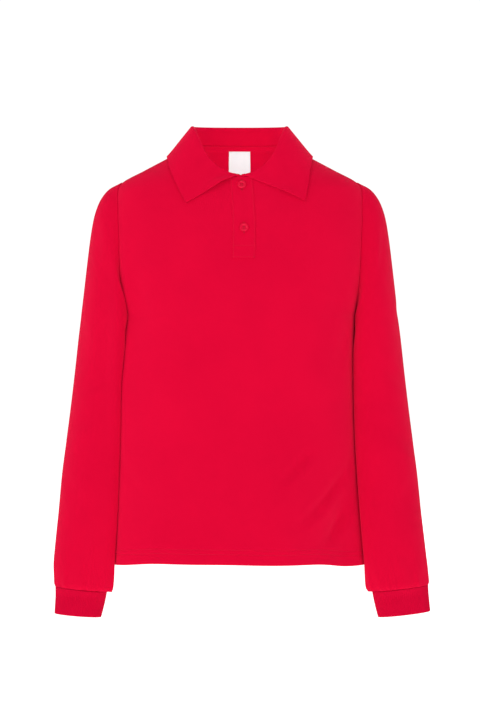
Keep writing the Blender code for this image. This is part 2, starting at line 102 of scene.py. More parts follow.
class Table:
    """A short table of sections. Between rows each column follows a smooth curve that never overshoots."""

    def __init__(self, columns, *rows):
        self.columns = columns.split()[1:]
        cells = np.array(sorted(rows), float)
        self.keys = cells[:, 0]
        self.cells = cells[:, 1:]
        steps = np.diff(self.cells, axis=0) / np.diff(self.keys)[:, None]
        left, right = steps[:-1], steps[1:]
        same_way = left * right > 0
        inner = np.where(same_way, 2 * left * right / np.where(same_way, left + right, 1), 0)
        self.slopes = np.vstack([steps[:1], inner, steps[-1:]])

    def at(self, key):
        key = np.clip(key, self.keys[0], self.keys[-1])
        i = np.clip(np.searchsorted(self.keys, key, side="right") - 1, 0, len(self.keys) - 2)
        span = (self.keys[i + 1] - self.keys[i])[..., None]
        t = (key - self.keys[i])[..., None] / span
        low, high = self.cells[i], self.cells[i + 1]
        start, end, rise = self.slopes[i] * span, self.slopes[i + 1] * span, high - low
        found = low + t * (start + t * (3 * rise - 2 * start - end + t * (start + end - 2 * rise)))
        return SimpleNamespace(**{name: found[..., c] for c, name in enumerate(self.columns)})


# Level sections of the body, hem to neck. Above the armpit the width is the one that the armhole is cut from.
TORSO = Table(
    "height half_width front_depth back_depth squareness",
    (-0.562, 0.1685, 0.1040, 0.0940, 2.35),
    (-0.500, 0.1640, 0.1050, 0.0930, 2.35),
    (-0.440, 0.1600, 0.1060, 0.0920, 2.35),
    (-0.380, 0.1570, 0.1065, 0.0910, 2.35),
    (-0.320, 0.1560, 0.1075, 0.0920, 2.35),
    (-0.270, 0.1555, 0.1085, 0.0940, 2.35),
    (ARMPIT_Z, 0.1560, 0.1090, 0.0960, 2.35),
    (-0.200, 0.1630, 0.1085, 0.0975, 2.30),
    (-0.165, 0.1700, 0.1065, 0.0985, 2.30),
    (-0.130, 0.1740, 0.1020, 0.0970, 2.25),
    (-0.100, 0.1755, 0.0955, 0.0930, 2.25),
    (-0.075, 0.1735, 0.0880, 0.0865, 2.20),
    (-0.058, 0.1680, 0.0810, 0.0800, 2.20),
    (SHOULDER_TIP_Z, SHOULDER_TIP_X, 0.0765, 0.0755, 2.15),
    (-0.031, 0.1287, 0.0690, 0.0690, 2.10),
    (-0.0155, 0.0994, 0.0610, 0.0605, 2.05),
    (0.000, NECK_HALF_WIDTH, 0.0530, 0.0525, 2.00),
    (0.006, 0.0600, 0.0495, 0.0490, 2.00),
)

# How far the whole body hangs towards the wearer's left (below 0: right), and how much wider below the arms.
SWAY = Table(
    "height shift width",
    (-0.560, -0.0018, 0.0028),
    (-0.500, -0.0028, 0.0040),
    (-0.450, -0.0040, 0.0046),
    (-0.380, -0.0056, 0.0048),
    (-0.320, -0.0064, 0.0050),
    (-0.270, -0.0040, 0.0030),
    (ARMPIT_Z, 0.0000, 0.0000),
)

# Between chest and arm the cloth bridges the hollow a little, more on the wearer's right: how far out the
# hollow is, and how far forward the cloth comes there on the right and on the left.
BRIDGE = Table(
    "height place right left",
    (-0.560, 0.1690, 0.0030, 0.0010),
    (-0.500, 0.1660, 0.0040, 0.0015),
    (-0.400, 0.1620, 0.0045, 0.0025),
    (-0.340, 0.1610, 0.0070, 0.0030),
    (-0.280, 0.1600, 0.0100, 0.0030),
    (-0.205, 0.1580, 0.0100, 0.0015),
    (-0.150, 0.1610, 0.0060, 0.0000),
    (-0.100, 0.1630, 0.0020, 0.0000),
    (-0.055, 0.1590, 0.0000, 0.0000),
)
BRIDGE_WIDTH = 0.0135
BRIDGE_DEPTH = 0.026

# How far the middle of the front hangs towards the wearer's left.
FRONT_LEAN = Table(
    "height shift",
    (-0.320, 0.0000),
    (-0.200, 0.0040),
    (-0.113, 0.0058),
    (-0.056, 0.0028),
    (-0.035, 0.0010),
    (0.010, 0.0000),
)

# The hem's height along the half ring, from the middle (0) to the side seam (1), on each hand of the wearer.
HEM = {
    (FRONT, -1): Table("share height", (0, -0.5545), (0.35, -0.5540), (0.7, -0.5585), (1, -0.5605)),
    (FRONT, 1): Table("share height", (0, -0.5545), (0.35, -0.5550), (0.7, -0.5600), (1, -0.5605)),
    (BACK, -1): Table("share height", (0, -0.5590), (0.5, -0.5600), (1, -0.5605)),
    (BACK, 1): Table("share height", (0, -0.5590), (0.5, -0.5600), (1, -0.5605)),
}

# Soft creases of each panel, in millimetres: where one starts and ends (across from the middle line towards
# the wearer's left, and height), how far it bows, how wide it is and how deep.
FRONT_CREASES = (
    (166, -430, 66, -512, 4, 7.5, 4.6),
    (104, -398, 52, -452, 3, 6.5, 3.4),
    (180, -470, 108, -536, 4, 10, 4.4),
    (46, -385, 50, -650, 3, 48, -10.5),
    (160, -390, 156, -650, -3, 34, 8.8),
    (186, -400, 140, -462, 4, 9, 1.5),
    (158, -150, 118, -262, -6, 12, 1.3),
    (170, -225, 140, -330, -4, 11, 1.2),
    (-156, -160, -132, -250, 5, 11, 0.9),
    (-178, -250, -150, -345, 4, 10, 1),
    (-176, -410, -120, -470, -4, 10, 1),
    (-70, -500, -52, -553, 2, 12, 1),
    (20, -478, 6, -551, 2, 15, 1),
    (52, -120, 78, -200, 4, 10, 0.6),
)
BACK_CREASES = (
    (140, -110, 60, -205, 6, 12, 2.8),
    (-144, -122, -72, -200, -6, 12, 2.6),
    (152, -210, 90, -315, -5, 11, 2.6),
    (-160, -230, -80, -305, 6, 12, 3),
    (150, -262, 118, -345, 4, 8, 1.8),
    (30, -290, 56, -440, 4, 15, 2.6),
    (-46, -320, -26, -470, 3, 14, 2.8),
    (176, -380, 104, -475, 5, 10, 3),
    (-180, -398, -116, -505, -4, 10, 2.8),
    (-160, -352, -128, -420, 3, 7.5, 1.6),
    (86, -440, 104, -590, 3, 16, 3.4),
    (-90, -450, -112, -590, 3, 15, 3),
    (0, -460, -4, -600, 2, 20, 3),
)

# Slow waves of the hem: how many metres one takes across the panel, where it starts and how deep it is.
HEM_WAVES = {
    FRONT: ((0.170, 0.035, 0.0013), (0.104, 0.012, 0.0006)),
    BACK: ((0.150, 0.020, 0.0017), (0.092, 0.040, 0.0009)),
}
HEM_WAVE_TOP = -0.36
HEM_LEVEL = -0.56

# Folds fade out towards the side seams. Within CALM_SIDE of them, where the sleeves lie against the body, no
# fold stands out.
SEAM_FLAT = 0.020
CALM_SIDE = 0.040
CALM_FADE = 0.030


def lerp(low, high, share):
    return low + (high - low) * share


def eased(share):
    """A smooth step from 0 to 1."""
    share = np.clip(share, 0, 1)
    return share**2 * (3 - 2 * share)


def bell(offset, width):
    return np.exp(-((offset / width) ** 2))


def unit(vectors):
    return vectors / np.linalg.norm(vectors, axis=-1, keepdims=True)


def power(value, exponent):
    return np.copysign(np.abs(value) ** exponent, value)


def point_array(x, y, z):
    return np.stack(np.broadcast_arrays(x, y, z), axis=-1).astype(float)


def depth_of(section, side):
    return np.where(side == FRONT, section.front_depth, section.back_depth)


def section_at(z):
    section = TORSO.at(z)
    section.half_width = section.half_width + SWAY.at(z).width
    return section


def leaned(x, z, side):
    """The body sways a little to one side, and the front's middle between the side seams a little more."""
    room = 1 - np.minimum(np.abs(x) / section_at(z).half_width, 1) ** 2
    return x + SWAY.at(z).shift + np.where(side == FRONT, FRONT_LEAN.at(z).shift * room, 0)


def ring_point(z, angle, side):
    """Points of the body's level sections, where angle 0 is the middle and a quarter turn the side seam."""
    section = section_at(z)
    x = section.half_width * power(np.sin(angle), 2 / section.squareness)
    y = side * depth_of(section, side) * power(np.cos(angle), 2 / section.squareness)
    return point_array(leaned(x, z, side), y, z)


def surface_at(x, z, side):
    """The body's surface straight in front of or behind x, which is measured from the leaning middle line."""
    section = section_at(z)
    rest = np.maximum(0.0, 1 - (np.abs(x) / section.half_width) ** section.squareness)
    y = side * depth_of(section, side) * rest ** (1 / section.squareness)
    return point_array(leaned(x, z, side), y, z)


def form_value(points):
    """Below 0 inside the body's form, 0 on it and above 0 outside."""
    x, y, z = np.moveaxis(points, -1, 0)
    side = np.where(y <= 0, FRONT, BACK)
    section = section_at(z)
    straight = 2 * x - leaned(x, z, side)
    across = (np.abs(straight) / section.half_width) ** section.squareness
    through = (np.abs(y) / depth_of(section, side)) ** section.squareness
    return across + through - 1


def form_normal(points):
    """The outward normal of the body's form near each point, and how steeply its value rises along it."""
    step = 0.0002
    slopes = []
    for axis in np.eye(3):
        slopes.append((form_value(points + axis * step) - form_value(points - axis * step)) / (2 * step))
    slope = np.stack(slopes, axis=-1)
    steepness = np.linalg.norm(slope, axis=-1)
    return slope / steepness[..., None], steepness


def lifted_off(points, clearance):
    """The points, moved out so that each lies at least this far from the body's form."""
    softness = LIFT_SOFTNESS
    for _ in range(4):
        normal, steepness = form_normal(points)
        distance = form_value(points) / steepness
        over = (distance - clearance) / softness
        move = np.where(over > 8, 0, clearance + softness * np.logaddexp(0, over) - distance)
        points = points + normal * move[..., None]
        softness = softness / 3
    return points


def neck_height(angle, side):
    middle = np.where(side == FRONT, -NECK_FRONT_DROP, NECK_BACK_RISE)
    return middle * np.maximum(np.cos(angle), 0) ** NECK_CURVE


def neck_ring_angle(angle, side):
    """Where on the level section the neck edge lies, for an angle round the neck opening."""
    section = TORSO.at(neck_height(angle, side))
    x = np.minimum(NECK_HALF_WIDTH * np.sin(angle) / section.half_width, 1)
    return np.arcsin(x ** (section.squareness / 2))


def neck_point(angle, side):
    return ring_point(neck_height(angle, side), neck_ring_angle(angle, side), side)


def armhole_height(turn):
    return lerp(ARMPIT_Z, SHOULDER_TIP_Z, (1 + np.cos(turn)) / 2)


def armhole_angle(turn, side):
    """The angle on the level section at which the armhole is cut, from its top (0) to the armpit (pi)."""
    section = TORSO.at(armhole_height(turn))
    reach = np.where(side == FRONT, ARMHOLE_FRONT_DEPTH, ARMHOLE_BACK_DEPTH)
    share = np.sqrt(np.maximum(0, 1 - np.abs(np.cos(turn)) ** ARMHOLE_ROUNDNESS))
    return np.arccos((reach * share / depth_of(section, side)) ** (section.squareness / 2))


def hem_height(share, side):
    right, left = HEM[side, -1].at(np.abs(share)).height, HEM[side, 1].at(np.abs(share)).height
    return np.where(share >= 0, left, right)


def bridged(points):
    """The points, moved forward where the cloth bridges the hollows between chest and arms."""
    x, y, z = np.moveaxis(points, -1, 0)
    bridge = BRIDGE.at(z)
    reach = np.where(x < 0, bridge.right, bridge.left)
    near = bell(np.abs(x) - bridge.place, BRIDGE_WIDTH)
    return point_array(x, y - reach * near * eased(-y / BRIDGE_DEPTH), z)


def panel_points(side, lower, upper, shares):
    """A body panel's points: rows from hem to armpit and on to the neck, columns from seam to seam."""
    across = np.abs(shares)[None, :]
    hand = np.where(shares >= 0, 1, -1)[None, :]
    hem = hem_height(shares, side)[None, :] + HEM_FOLD_RADIUS
    below = ring_point(lerp(hem, ARMPIT_Z, lower[:, None]), across * math.pi / 2 * hand, side)

    rise = upper[:, None]
    round_armhole = np.pi * (1 - np.minimum(rise / ARMHOLE_SPAN, 1))
    along_shoulder = np.clip((rise - ARMHOLE_SPAN) / (1 - ARMHOLE_SPAN), 0, 1)
    beside_armhole = rise <= ARMHOLE_SPAN
    edge = np.where(beside_armhole, armhole_height(round_armhole), lerp(SHOULDER_TIP_Z, 0, along_shoulder))
    edge_angle = np.where(beside_armhole, armhole_angle(round_armhole, side), math.pi / 2)
    middle = lerp(ARMPIT_Z, neck_height(0, side), rise)
    turn = across * math.pi / 2
    curve = np.maximum(np.cos(turn), 0) ** lerp(CHEST_CURVE, NECK_CURVE, rise**4)
    neck_share = neck_ring_angle(turn, side) / (math.pi / 2)
    angle = edge_angle * lerp(across, neck_share, rise**2)
    above = ring_point(lerp(edge, middle, curve), angle * hand, side)

    points = np.concatenate([below, above])
    points[..., 1] = side * np.maximum(side * points[..., 1], SEAM_GAP / 2)
    return bridged(points)


def grid_normals(points, tube=False):
    """The outward normal at each point of a grid; a tube's first and last columns are the same line."""
    if tube:
        wrapped = np.concatenate([points[:, -2:-1], points, points[:, 1:2]], axis=1)
        across = wrapped[:, 2:] - wrapped[:, :-2]
    else:
        across = np.gradient(points, axis=1)
    return unit(np.cross(across, np.gradient(points, axis=0)))


def lengths_along(points, axis):
    """How far each point is from the grid's first line, measured along the cloth."""
    steps = np.linalg.norm(np.diff(points, axis=axis), axis=-1)
    pad = [(1, 0), (0, 0)] if axis == 0 else [(0, 0), (1, 0)]
    return np.cumsum(np.pad(steps, pad), axis=axis)


def creased(across, height, creases):
    """How far the cloth stands out for these creases: each is a trough with a low ridge beside it."""
    rise = np.zeros_like(across)
    for start_u, start_v, end_u, end_v, bow, width, depth in np.array(creases) / 1000:
        run_u, run_v = end_u - start_u, end_v - start_v
        length = math.hypot(run_u, run_v)
        t = ((across - start_u) * run_u + (height - start_v) * run_v) / length**2
        off = ((height - start_v) * run_u - (across - start_u) * run_v) / length - bow * 4 * t * (1 - t)
        fade = np.clip(4 * t * (1 - t), 0, None) ** 1.5
        trough = bell(off, width) - 0.45 * bell(off - 1.7 * width, 1.2 * width)
        rise -= depth * fade * trough
    return rise


def placed(name, data):
    """A new object in the scene."""
    obj = bpy.data.objects.new(name, data)
    bpy.context.scene.collection.objects.link(obj)
    return obj


def modified(obj, name, kind, **settings):
    modifier = obj.modifiers.new(name, kind)
    for key, value in settings.items():
        setattr(modifier, key, value)
    return modifier


def cloth(name, points, thickness, finish, offset=-1, skip=None):
    """A sheet of cloth as a mesh: its right side runs through the grid of points, its wall lies behind it."""
    rows, columns = points.shape[:2]
    corner = np.arange(rows * columns).reshape(rows, columns)
    faces = np.stack([corner[:-1, :-1], corner[:-1, 1:], corner[1:, 1:], corner[1:, :-1]], axis=-1)
    kept = np.ones(faces.shape[:2], bool) if skip is None else ~skip
    faces = faces[kept]
    mesh = bpy.data.meshes.new(name)
    mesh.from_pydata(points.reshape(-1, 3).tolist(), [], faces.tolist())
    uv = np.stack([lengths_along(points, 1), lengths_along(points, 0)], axis=-1).reshape(-1, 2)
    layer = mesh.uv_layers.new(name="cut")
    layer.data.foreach_set("uv", uv[faces.reshape(-1)].reshape(-1).astype(np.float32))
    mesh.materials.append(finish)
    obj = placed(name, mesh)
    modified(obj, "wall", "SOLIDIFY", thickness=thickness, offset=offset)
    return obj


def finished(obj, sharp=50):
    """The piece with its modifiers made real, and smooth but for its sharp edges."""
    graph = bpy.context.evaluated_depsgraph_get()
    evaluated = obj.evaluated_get(graph)
    made = bpy.data.meshes.new_from_object(evaluated, preserve_all_data_layers=True, depsgraph=graph)
    obj.modifiers.clear()
    plain = obj.data
    obj.data = made
    bpy.data.meshes.remove(plain)
    made.name = obj.name
    made.shade_smooth()
    made.set_sharp_from_angle(angle=math.radians(sharp))
    return obj


def worn(obj, slot, *nodes):
    """Hangs a finished piece on the shirt, in place of the nodes it stands for, which it hides; the slot is
    not used.
    """
    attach(obj, "root")
    if nodes:
        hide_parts(*nodes)
    return obj


def wired(tree, kind, *inputs, out=0, **settings):
    """A new node with its settings and inputs: a socket is linked, and any other value is set."""
    node = tree.nodes.new(kind)
    for key, value in settings.items():
        setattr(node, key, value)
    for socket, value in zip(node.inputs, inputs):
        if isinstance(value, bpy.types.NodeSocket):
            tree.links.new(value, socket)
        elif value is not None:
            socket.default_value = value
    return node.outputs[out]


def math_node(tree, operation, *values):
    return wired(tree, "ShaderNodeMath", *values, operation=operation)


def noise(tree, scale, detail, roughness):
    """Noise that is fixed to the piece."""
    place = wired(tree, "ShaderNodeTexCoord", out=3)
    return wired(tree, "ShaderNodeTexNoise", place, None, scale, detail, roughness)


def knit_wave(tree, operation, axis, pitch):
    """A wave across (0) or along (1) the cloth as it was cut."""
    cut = wired(tree, "ShaderNodeUVMap", uv_map="cut")
    place = wired(tree, "ShaderNodeSeparateXYZ", cut, out=axis)
    return math_node(tree, operation, math_node(tree, "MULTIPLY", place, 2 * math.pi / pitch))


def embossed(tree, shader, relief, strength, depth):
    bump = wired(tree, "ShaderNodeBump", strength, depth)
    tree.links.new(relief, bump.node.inputs["Height"])
    tree.links.new(bump, shader.inputs["Normal"])


def coloured(tree, shader, pattern, low, high, deep, bright):
    """Colours the finish from deep to bright as the pattern rises from low to high."""
    mix = tree.nodes.new("ShaderNodeMix")
    mix.data_type = "RGBA"
    tree.links.new(wired(tree, "ShaderNodeMapRange", pattern, low, high, 0.0, 1.0), mix.inputs[0])
    mix.inputs[6].default_value = deep
    mix.inputs[7].default_value = bright
    tree.links.new(mix.outputs[2], shader.inputs["Base Color"])


def tuned(node, **values):
    """Sets a node's inputs by their names, where an underscore stands for a space."""
    for name, value in values.items():
        node.inputs[name.replace("_", " ")].default_value = value


def new_finish(name):
    made = bpy.data.materials.new(name)
    made.use_nodes = True
    return made, made.node_tree, made.node_tree.nodes["Principled BSDF"]


def dyed_cotton(shader, roughness):
    """Dyed cotton scatters almost all of its light and shines very little."""
    tuned(shader, Roughness=roughness, Diffuse_Roughness=1.0, Specular_IOR_Level=0.03)
    tuned(shader, Sheen_Weight=0.25, Sheen_Roughness=0.40, Sheen_Tint=(0.90, 0.10, 0.16, 1))


def pique_finish():
    """Pique: small raised cells in staggered rows, about 1.6 mm apart, with fuzzy yarn between them. Its red
    is painted darker in the hollows as shade and lighter on the cell tops, over a slow random change of tone.
    """
    made, tree, shader = new_finish("red_pique_knit")
    dyed_cotton(shader, 0.92)
    wales = knit_wave(tree, "COSINE", 0, WALE_PITCH)
    courses = knit_wave(tree, "COSINE", 1, COURSE_PITCH)
    cells = math_node(tree, "MULTIPLY", wales, courses)
    relief = math_node(tree, "MULTIPLY_ADD", noise(tree, 2600.0, 3.0, 0.6), 0.7, cells)
    embossed(tree, shader, relief, 0.35, 0.0004)
    # Painted shade: the colour follows the cells, darker in the hollows between them and lighter on their
    # tops, mixed with a slow random tone.
    hollow_shade_and_tone = math_node(tree, "MULTIPLY_ADD", cells, 0.22, noise(tree, 14.0, 2.0, 0.5))
    coloured(tree, shader, hollow_shade_and_tone, 0.1, 0.9, RED_DEEP_AND_HOLLOW_SHADE, RED_BRIGHT_AND_CELL_TOP_LIGHT)
    return made


def thread_finish(name, deep, bright):
    """Sewing thread: twisted plies, with a little more shine than the cloth."""
    made, tree, shader = new_finish(name)
    dyed_cotton(shader, 0.6)
    tuned(shader, Specular_IOR_Level=0.20)
    coloured(tree, shader, noise(tree, 3200.0, 2.0, 0.5), 0.3, 0.7, deep, bright)
    return made


def stitch_nodes():
    """Geometry nodes that lay one short thread after another along the lines of a mesh."""
    tree = bpy.data.node_groups.new("row_of_stitches", "GeometryNodeTree")
    tree.interface.new_socket("Lines", in_out="INPUT", socket_type="NodeSocketGeometry")
    for name in ("Pitch", "Half Length", "Thread Radius"):
        tree.interface.new_socket(name, in_out="INPUT", socket_type="NodeSocketFloat")
    tree.interface.new_socket("Thread", in_out="INPUT", socket_type="NodeSocketMaterial")
    tree.interface.new_socket("Stitches", in_out="OUTPUT", socket_type="NodeSocketGeometry")
    given = tree.nodes.new("NodeGroupInput").outputs
    curves = wired(tree, "GeometryNodeMeshToCurve", given["Lines"])
    spaced = wired(tree, "GeometryNodeResampleCurve", curves, mode="LENGTH")
    tree.links.new(given["Pitch"], spaced.node.inputs["Length"])
    tangent = wired(tree, "GeometryNodeInputTangent")
    turned = wired(tree, "FunctionNodeAlignRotationToVector", None, None, tangent, axis="X")
    thread = wired(tree, "GeometryNodeMeshUVSphere", 6, 5, 1.0)
    smooth = wired(tree, "GeometryNodeSetShadeSmooth", thread)
    radius = given["Thread Radius"]
    size = wired(tree, "ShaderNodeCombineXYZ", given["Half Length"], radius, radius)
    laid = wired(tree, "GeometryNodeInstanceOnPoints", spaced, None, smooth, None, None, turned, size)
    real = wired(tree, "GeometryNodeRealizeInstances", laid)
    painted = wired(tree, "GeometryNodeSetMaterial", real, None, given["Thread"])
    tree.links.new(painted, tree.nodes.new("NodeGroupOutput").inputs[0])
    return tree


def sewn(name, lines, thread, pitch=STITCH_PITCH, length=STITCH_LENGTH):
    """Stitches along these lines of points, as one piece."""
    corners = np.concatenate(lines)
    first = np.cumsum([0] + [len(line) for line in lines])
    edges = [(k, k + 1) for start, end in zip(first, first[1:]) for k in range(start, end - 1)]
    mesh = bpy.data.meshes.new(name)
    mesh.from_pydata(corners.tolist(), edges, [])
    obj = placed(name, mesh)
    rows = modified(obj, "stitches", "NODES", node_group=row_of_stitches)
    sockets = {item.name: item.identifier for item in row_of_stitches.interface.items_tree}
    given = {"Pitch": pitch, "Half Length": length / 2, "Thread Radius": THREAD_RADIUS, "Thread": thread}
    for socket, value in given.items():
        rows[sockets[socket]] = value
    return finished(obj, sharp=180)


def traced(points, measure, distance):
    """The line on which the columns of a grid reach this distance along the cloth."""
    line = []
    for c in range(points.shape[1]):
        line.append([np.interp(distance, measure[:, c], points[:, c, axis]) for axis in range(3)])
    return np.array(line)


def turned_in(points, normals):
    """The grid with narrow seam allowances that turn in at both ends of its rows."""
    start = [points[:, :1] - normals[:, :1] * d for d in ALLOWANCE[::-1]]
    end = [points[:, -1:] - normals[:, -1:] * d for d in ALLOWANCE]
    return np.concatenate(start + [points] + end, axis=1)


def fold_rows(edge, normals, down, radius, turns):
    """Rows of points round a fold at the edge of the cloth, one for each turn."""
    rows = []
    for turn in turns:
        rows.append(edge - normals * radius * (1 - math.cos(turn)) + down * radius * math.sin(turn))
    return rows


def body_panel(name, side, creases, finish):
    inner = np.linspace(-1, 1, PANEL_COLUMNS)[1:-1]
    near_seam = 1 - np.array((0,) + CLOSE_TO_SEAM)
    shares = np.unique(np.concatenate([inner, near_seam, -near_seam, [-SLIT_SHARE, SLIT_SHARE]]))
    if side == FRONT:
        shares = shares[(np.abs(shares) >= SLIT_SHARE)]
    lower = np.unique(np.concatenate([np.linspace(0, 1, LOWER_ROWS), np.linspace(0, *CLOSE_TO_HEM)]))
    upper = np.linspace(0, 1, UPPER_ROWS)[1:]
    points = panel_points(side, lower, upper, shares)
    if side == BACK:
        points = points[:, ::-1]
        shares = shares[::-1]
    normals = grid_normals(points)
    along = lengths_along(points, 1)
    across = (along - along[:, -1:] / 2) * (1 if side == FRONT else -1)
    height = points[..., 2]
    to_seam = np.minimum(along, along[:, -1:] - along)
    rise = creased(across, height, creases)
    low = np.clip((HEM_WAVE_TOP - height) / (HEM_WAVE_TOP - HEM_LEVEL), 0, 1) ** 1.6
    for wave, start, depth in HEM_WAVES[side]:
        rise += depth * low * np.sin(2 * math.pi * (across - start) / wave)
    rise *= eased(to_seam / SEAM_FLAT)
    rise = np.where(rise > 0, rise * eased((to_seam - CALM_SIDE) / CALM_FADE), rise)
    rise -= SEAM_DIP * bell(to_seam, SEAM_SOFTNESS)
    up = lengths_along(points, 0)
    for row_height in HEM_STITCHING:
        rise -= STITCH_SINK * bell(up - row_height, STITCH_PULL)
    between_rows = bell(up - sum(HEM_STITCHING) / 2, PUCKER_REACH)
    phase = 2 * math.pi * across / PUCKER_PITCH
    for rate, start, size in PUCKER_SHIFTS:
        phase = phase + size * np.sin(across * rate + start)
    swell = 0.6 + 0.4 * np.sin(across * PUCKER_SWELL + 1)
    rise += PUCKER_HEIGHT * between_rows * np.sin(phase) * swell
    points = points + normals * rise[..., None]
    normals = grid_normals(points)
    laid = SimpleNamespace(points=points, normals=normals, along=along, up=lengths_along(points, 0))

    folded = np.searchsorted(laid.up.mean(axis=1), HEM_DEPTH)
    behind = (points - normals * 2 * HEM_FOLD_RADIUS)[folded::-1]
    turns = np.pi * np.arange(1, HEM_FOLD_STEPS)[::-1] / HEM_FOLD_STEPS
    bend = fold_rows(points[0], normals[0], unit(points[0] - points[1]), HEM_FOLD_RADIUS, turns)
    whole = np.concatenate([behind, np.array(bend), points])
    hem_rows = len(whole) - len(points)
    whole_normals = np.concatenate([normals[folded::-1], np.repeat(normals[:1], len(bend), axis=0), normals])
    sheet = turned_in(whole, whole_normals)
    skip = np.zeros((sheet.shape[0] - 1, sheet.shape[1] - 1), bool)
    skip[:hem_rows, : len(ALLOWANCE)] = True
    skip[:hem_rows, -len(ALLOWANCE) :] = True
    if side == FRONT:
        slit = len(ALLOWANCE) + int(np.searchsorted(shares, 0)) - 1
        open_rows = sheet[:-1, slit, 2] > SLIT_BOTTOM
        skip[open_rows, slit] = True
    return finished(cloth(name, sheet, PIQUE, finish, skip=skip)), laid


pique = pique_finish()
front, front_laid = body_panel("front_panel", FRONT, FRONT_CREASES, pique)
back, back_laid = body_panel("back_panel", BACK, BACK_CREASES, pique)
worn(front, "red_pique", "front")
worn(back, "red_pique", "back")

row_of_stitches = stitch_nodes()
deep_thread = tuple(0.86 * part for part in RED_THREAD[:3]) + (1,)
red_thread = thread_finish("red_sewing_thread", deep_thread, RED_THREAD)
hem_lines = []
for laid in (front_laid, back_laid):
    outside = laid.points + laid.normals * THREAD_HEIGHT
    hem_lines += [traced(outside, laid.up, height) for height in HEM_STITCHING]
hem_stitches = worn(sewn("hem_twin_needle_stitches", hem_lines, red_thread), "red_pique")

SHOULDER_STITCHING = 0.0030
shoulder_rows = slice(len(back_laid.points) - int((1 - ARMHOLE_SPAN) * UPPER_ROWS), -2)
outside = (back_laid.points + back_laid.normals * THREAD_HEIGHT)[shoulder_rows].transpose(1, 0, 2)
along = back_laid.along[shoulder_rows].T
shoulder_lines = [traced(outside, along, SHOULDER_STITCHING)]
shoulder_lines.append(traced(outside[::-1], (along[-1:] - along)[::-1], SHOULDER_STITCHING))
shoulder_stitches = worn(sewn("shoulder_seam_stitches", shoulder_lines, red_thread), "red_pique")


# Sleeves: set-in sleeves of the same pique. Each is one piece, closed by a seam under the arm, sewn round the
# armhole at the top and gathered into its cuff at the bottom, where it blouses a little.

# How far the sleeves keep off the body, with more just below the armpit, and how fast that grows down the
# rings.
SLEEVE_AIR = 0.0004
ARMPIT_AIR = 0.0018
ARMPIT_AIR_DROP = 0.017
ARMPIT_AIR_SPREAD = 0.014
AIR_GROWTH = 1.5

# How far each sleeve's inner side is drawn in towards the body.
HUG_RINGS = 3
SLEEVE_HUG = Table(
    "height right left",
    (-0.570, 0.0110, 0.0050),
    (-0.500, 0.0135, 0.0070),
    (-0.400, 0.0150, 0.0075),
    (-0.320, 0.0190, 0.0080),
    (-0.260, 0.0230, 0.0095),
    (-0.150, 0.0230, 0.0095),
)
CAP_RINGS = 6
SLEEVE_ROWS = 170
SLEEVE_COLUMNS = 128
SLEEVE_END = 17
CLOSE_TO_ENDS = (0.02, 0.05, SLEEVE_END - 0.4, SLEEVE_END - 0.2, SLEEVE_END - 0.06)
SLEEVE_TOP_FLAT = 0.030
SLEEVE_SEAM_FLAT = 0.018
GATHERS = 17
GATHER_DEPTH = 0.0011
GATHER_LENGTH = 0.030
GATHER_START = 0.004

SLEEVE = Table(
    "ring outer_x outer_z inner_x inner_z front back forward roundness",
    (0, SHOULDER_TIP_X, SHOULDER_TIP_Z, 0.1560, ARMPIT_Z, 0.0450, 0.0420, 0.000, 2.4),
    (1, 0.1748, -0.0550, 0.1574, -0.2345, 0.0478, 0.0450, 0.000, 2.4),
    (2, 0.1878, -0.0708, 0.1575, -0.2380, 0.0500, 0.0470, 0.000, 2.4),
    (3, 0.1962, -0.0935, 0.1576, -0.2420, 0.0515, 0.0485, 0.000, 2.4),
    (4, 0.2012, -0.1215, 0.1572, -0.2470, 0.0525, 0.0498, 0.000, 2.35),
    (5, 0.2048, -0.1500, 0.1568, -0.2530, 0.0532, 0.0510, 0.001, 2.3),
    (6, 0.2088, -0.1850, 0.1560, -0.2620, 0.0535, 0.0518, 0.002, 2.2),
    (7, 0.2130, -0.2220, 0.1548, -0.2750, 0.0532, 0.0518, 0.003, 2.15),
    (8, 0.2172, -0.2580, 0.1536, -0.2920, 0.0525, 0.0512, 0.004, 2.1),
    (9, 0.2215, -0.2980, 0.1530, -0.3180, 0.0510, 0.0500, 0.005, 2.1),
    (10, 0.2270, -0.3460, 0.1532, -0.3580, 0.0485, 0.0475, 0.007, 2.1),
    (11, 0.2330, -0.3940, 0.1546, -0.4030, 0.0450, 0.0445, 0.010, 2.1),
    (12, 0.2388, -0.4400, 0.1572, -0.4480, 0.0420, 0.0412, 0.013, 2.1),
    (13, 0.2432, -0.4870, 0.1608, -0.4950, 0.0385, 0.0378, 0.016, 2.1),
    (14, 0.2478, -0.5300, 0.1650, -0.5385, 0.0350, 0.0342, 0.018, 2.1),
    (15, 0.2508, -0.5640, 0.1692, -0.5725, 0.0318, 0.0310, 0.020, 2.1),
    (16, 0.2512, -0.5830, 0.1740, -0.5912, 0.0288, 0.0280, 0.021, 2.1),
    (17, 0.2503, -0.5878, 0.1768, -0.5960, 0.0262, 0.0255, 0.021, 2.1),
)

# How much further out and up the lower end of each sleeve hangs than the tables say.
SLEEVE_HANG = {
    "left": Table(
        "height outward up",
        (-0.630, 0.0040, 0.0010),
        (-0.590, 0.0028, 0.0008),
        (-0.550, 0.0008, 0.0003),
        (-0.440, 0.0000, 0.0000),
    ),
    "right": Table(
        "height outward up",
        (-0.630, -0.0038, -0.0022),
        (-0.590, -0.0032, -0.0015),
        (-0.550, -0.0008, -0.0005),
        (-0.440, 0.0000, 0.0000),
    ),
}

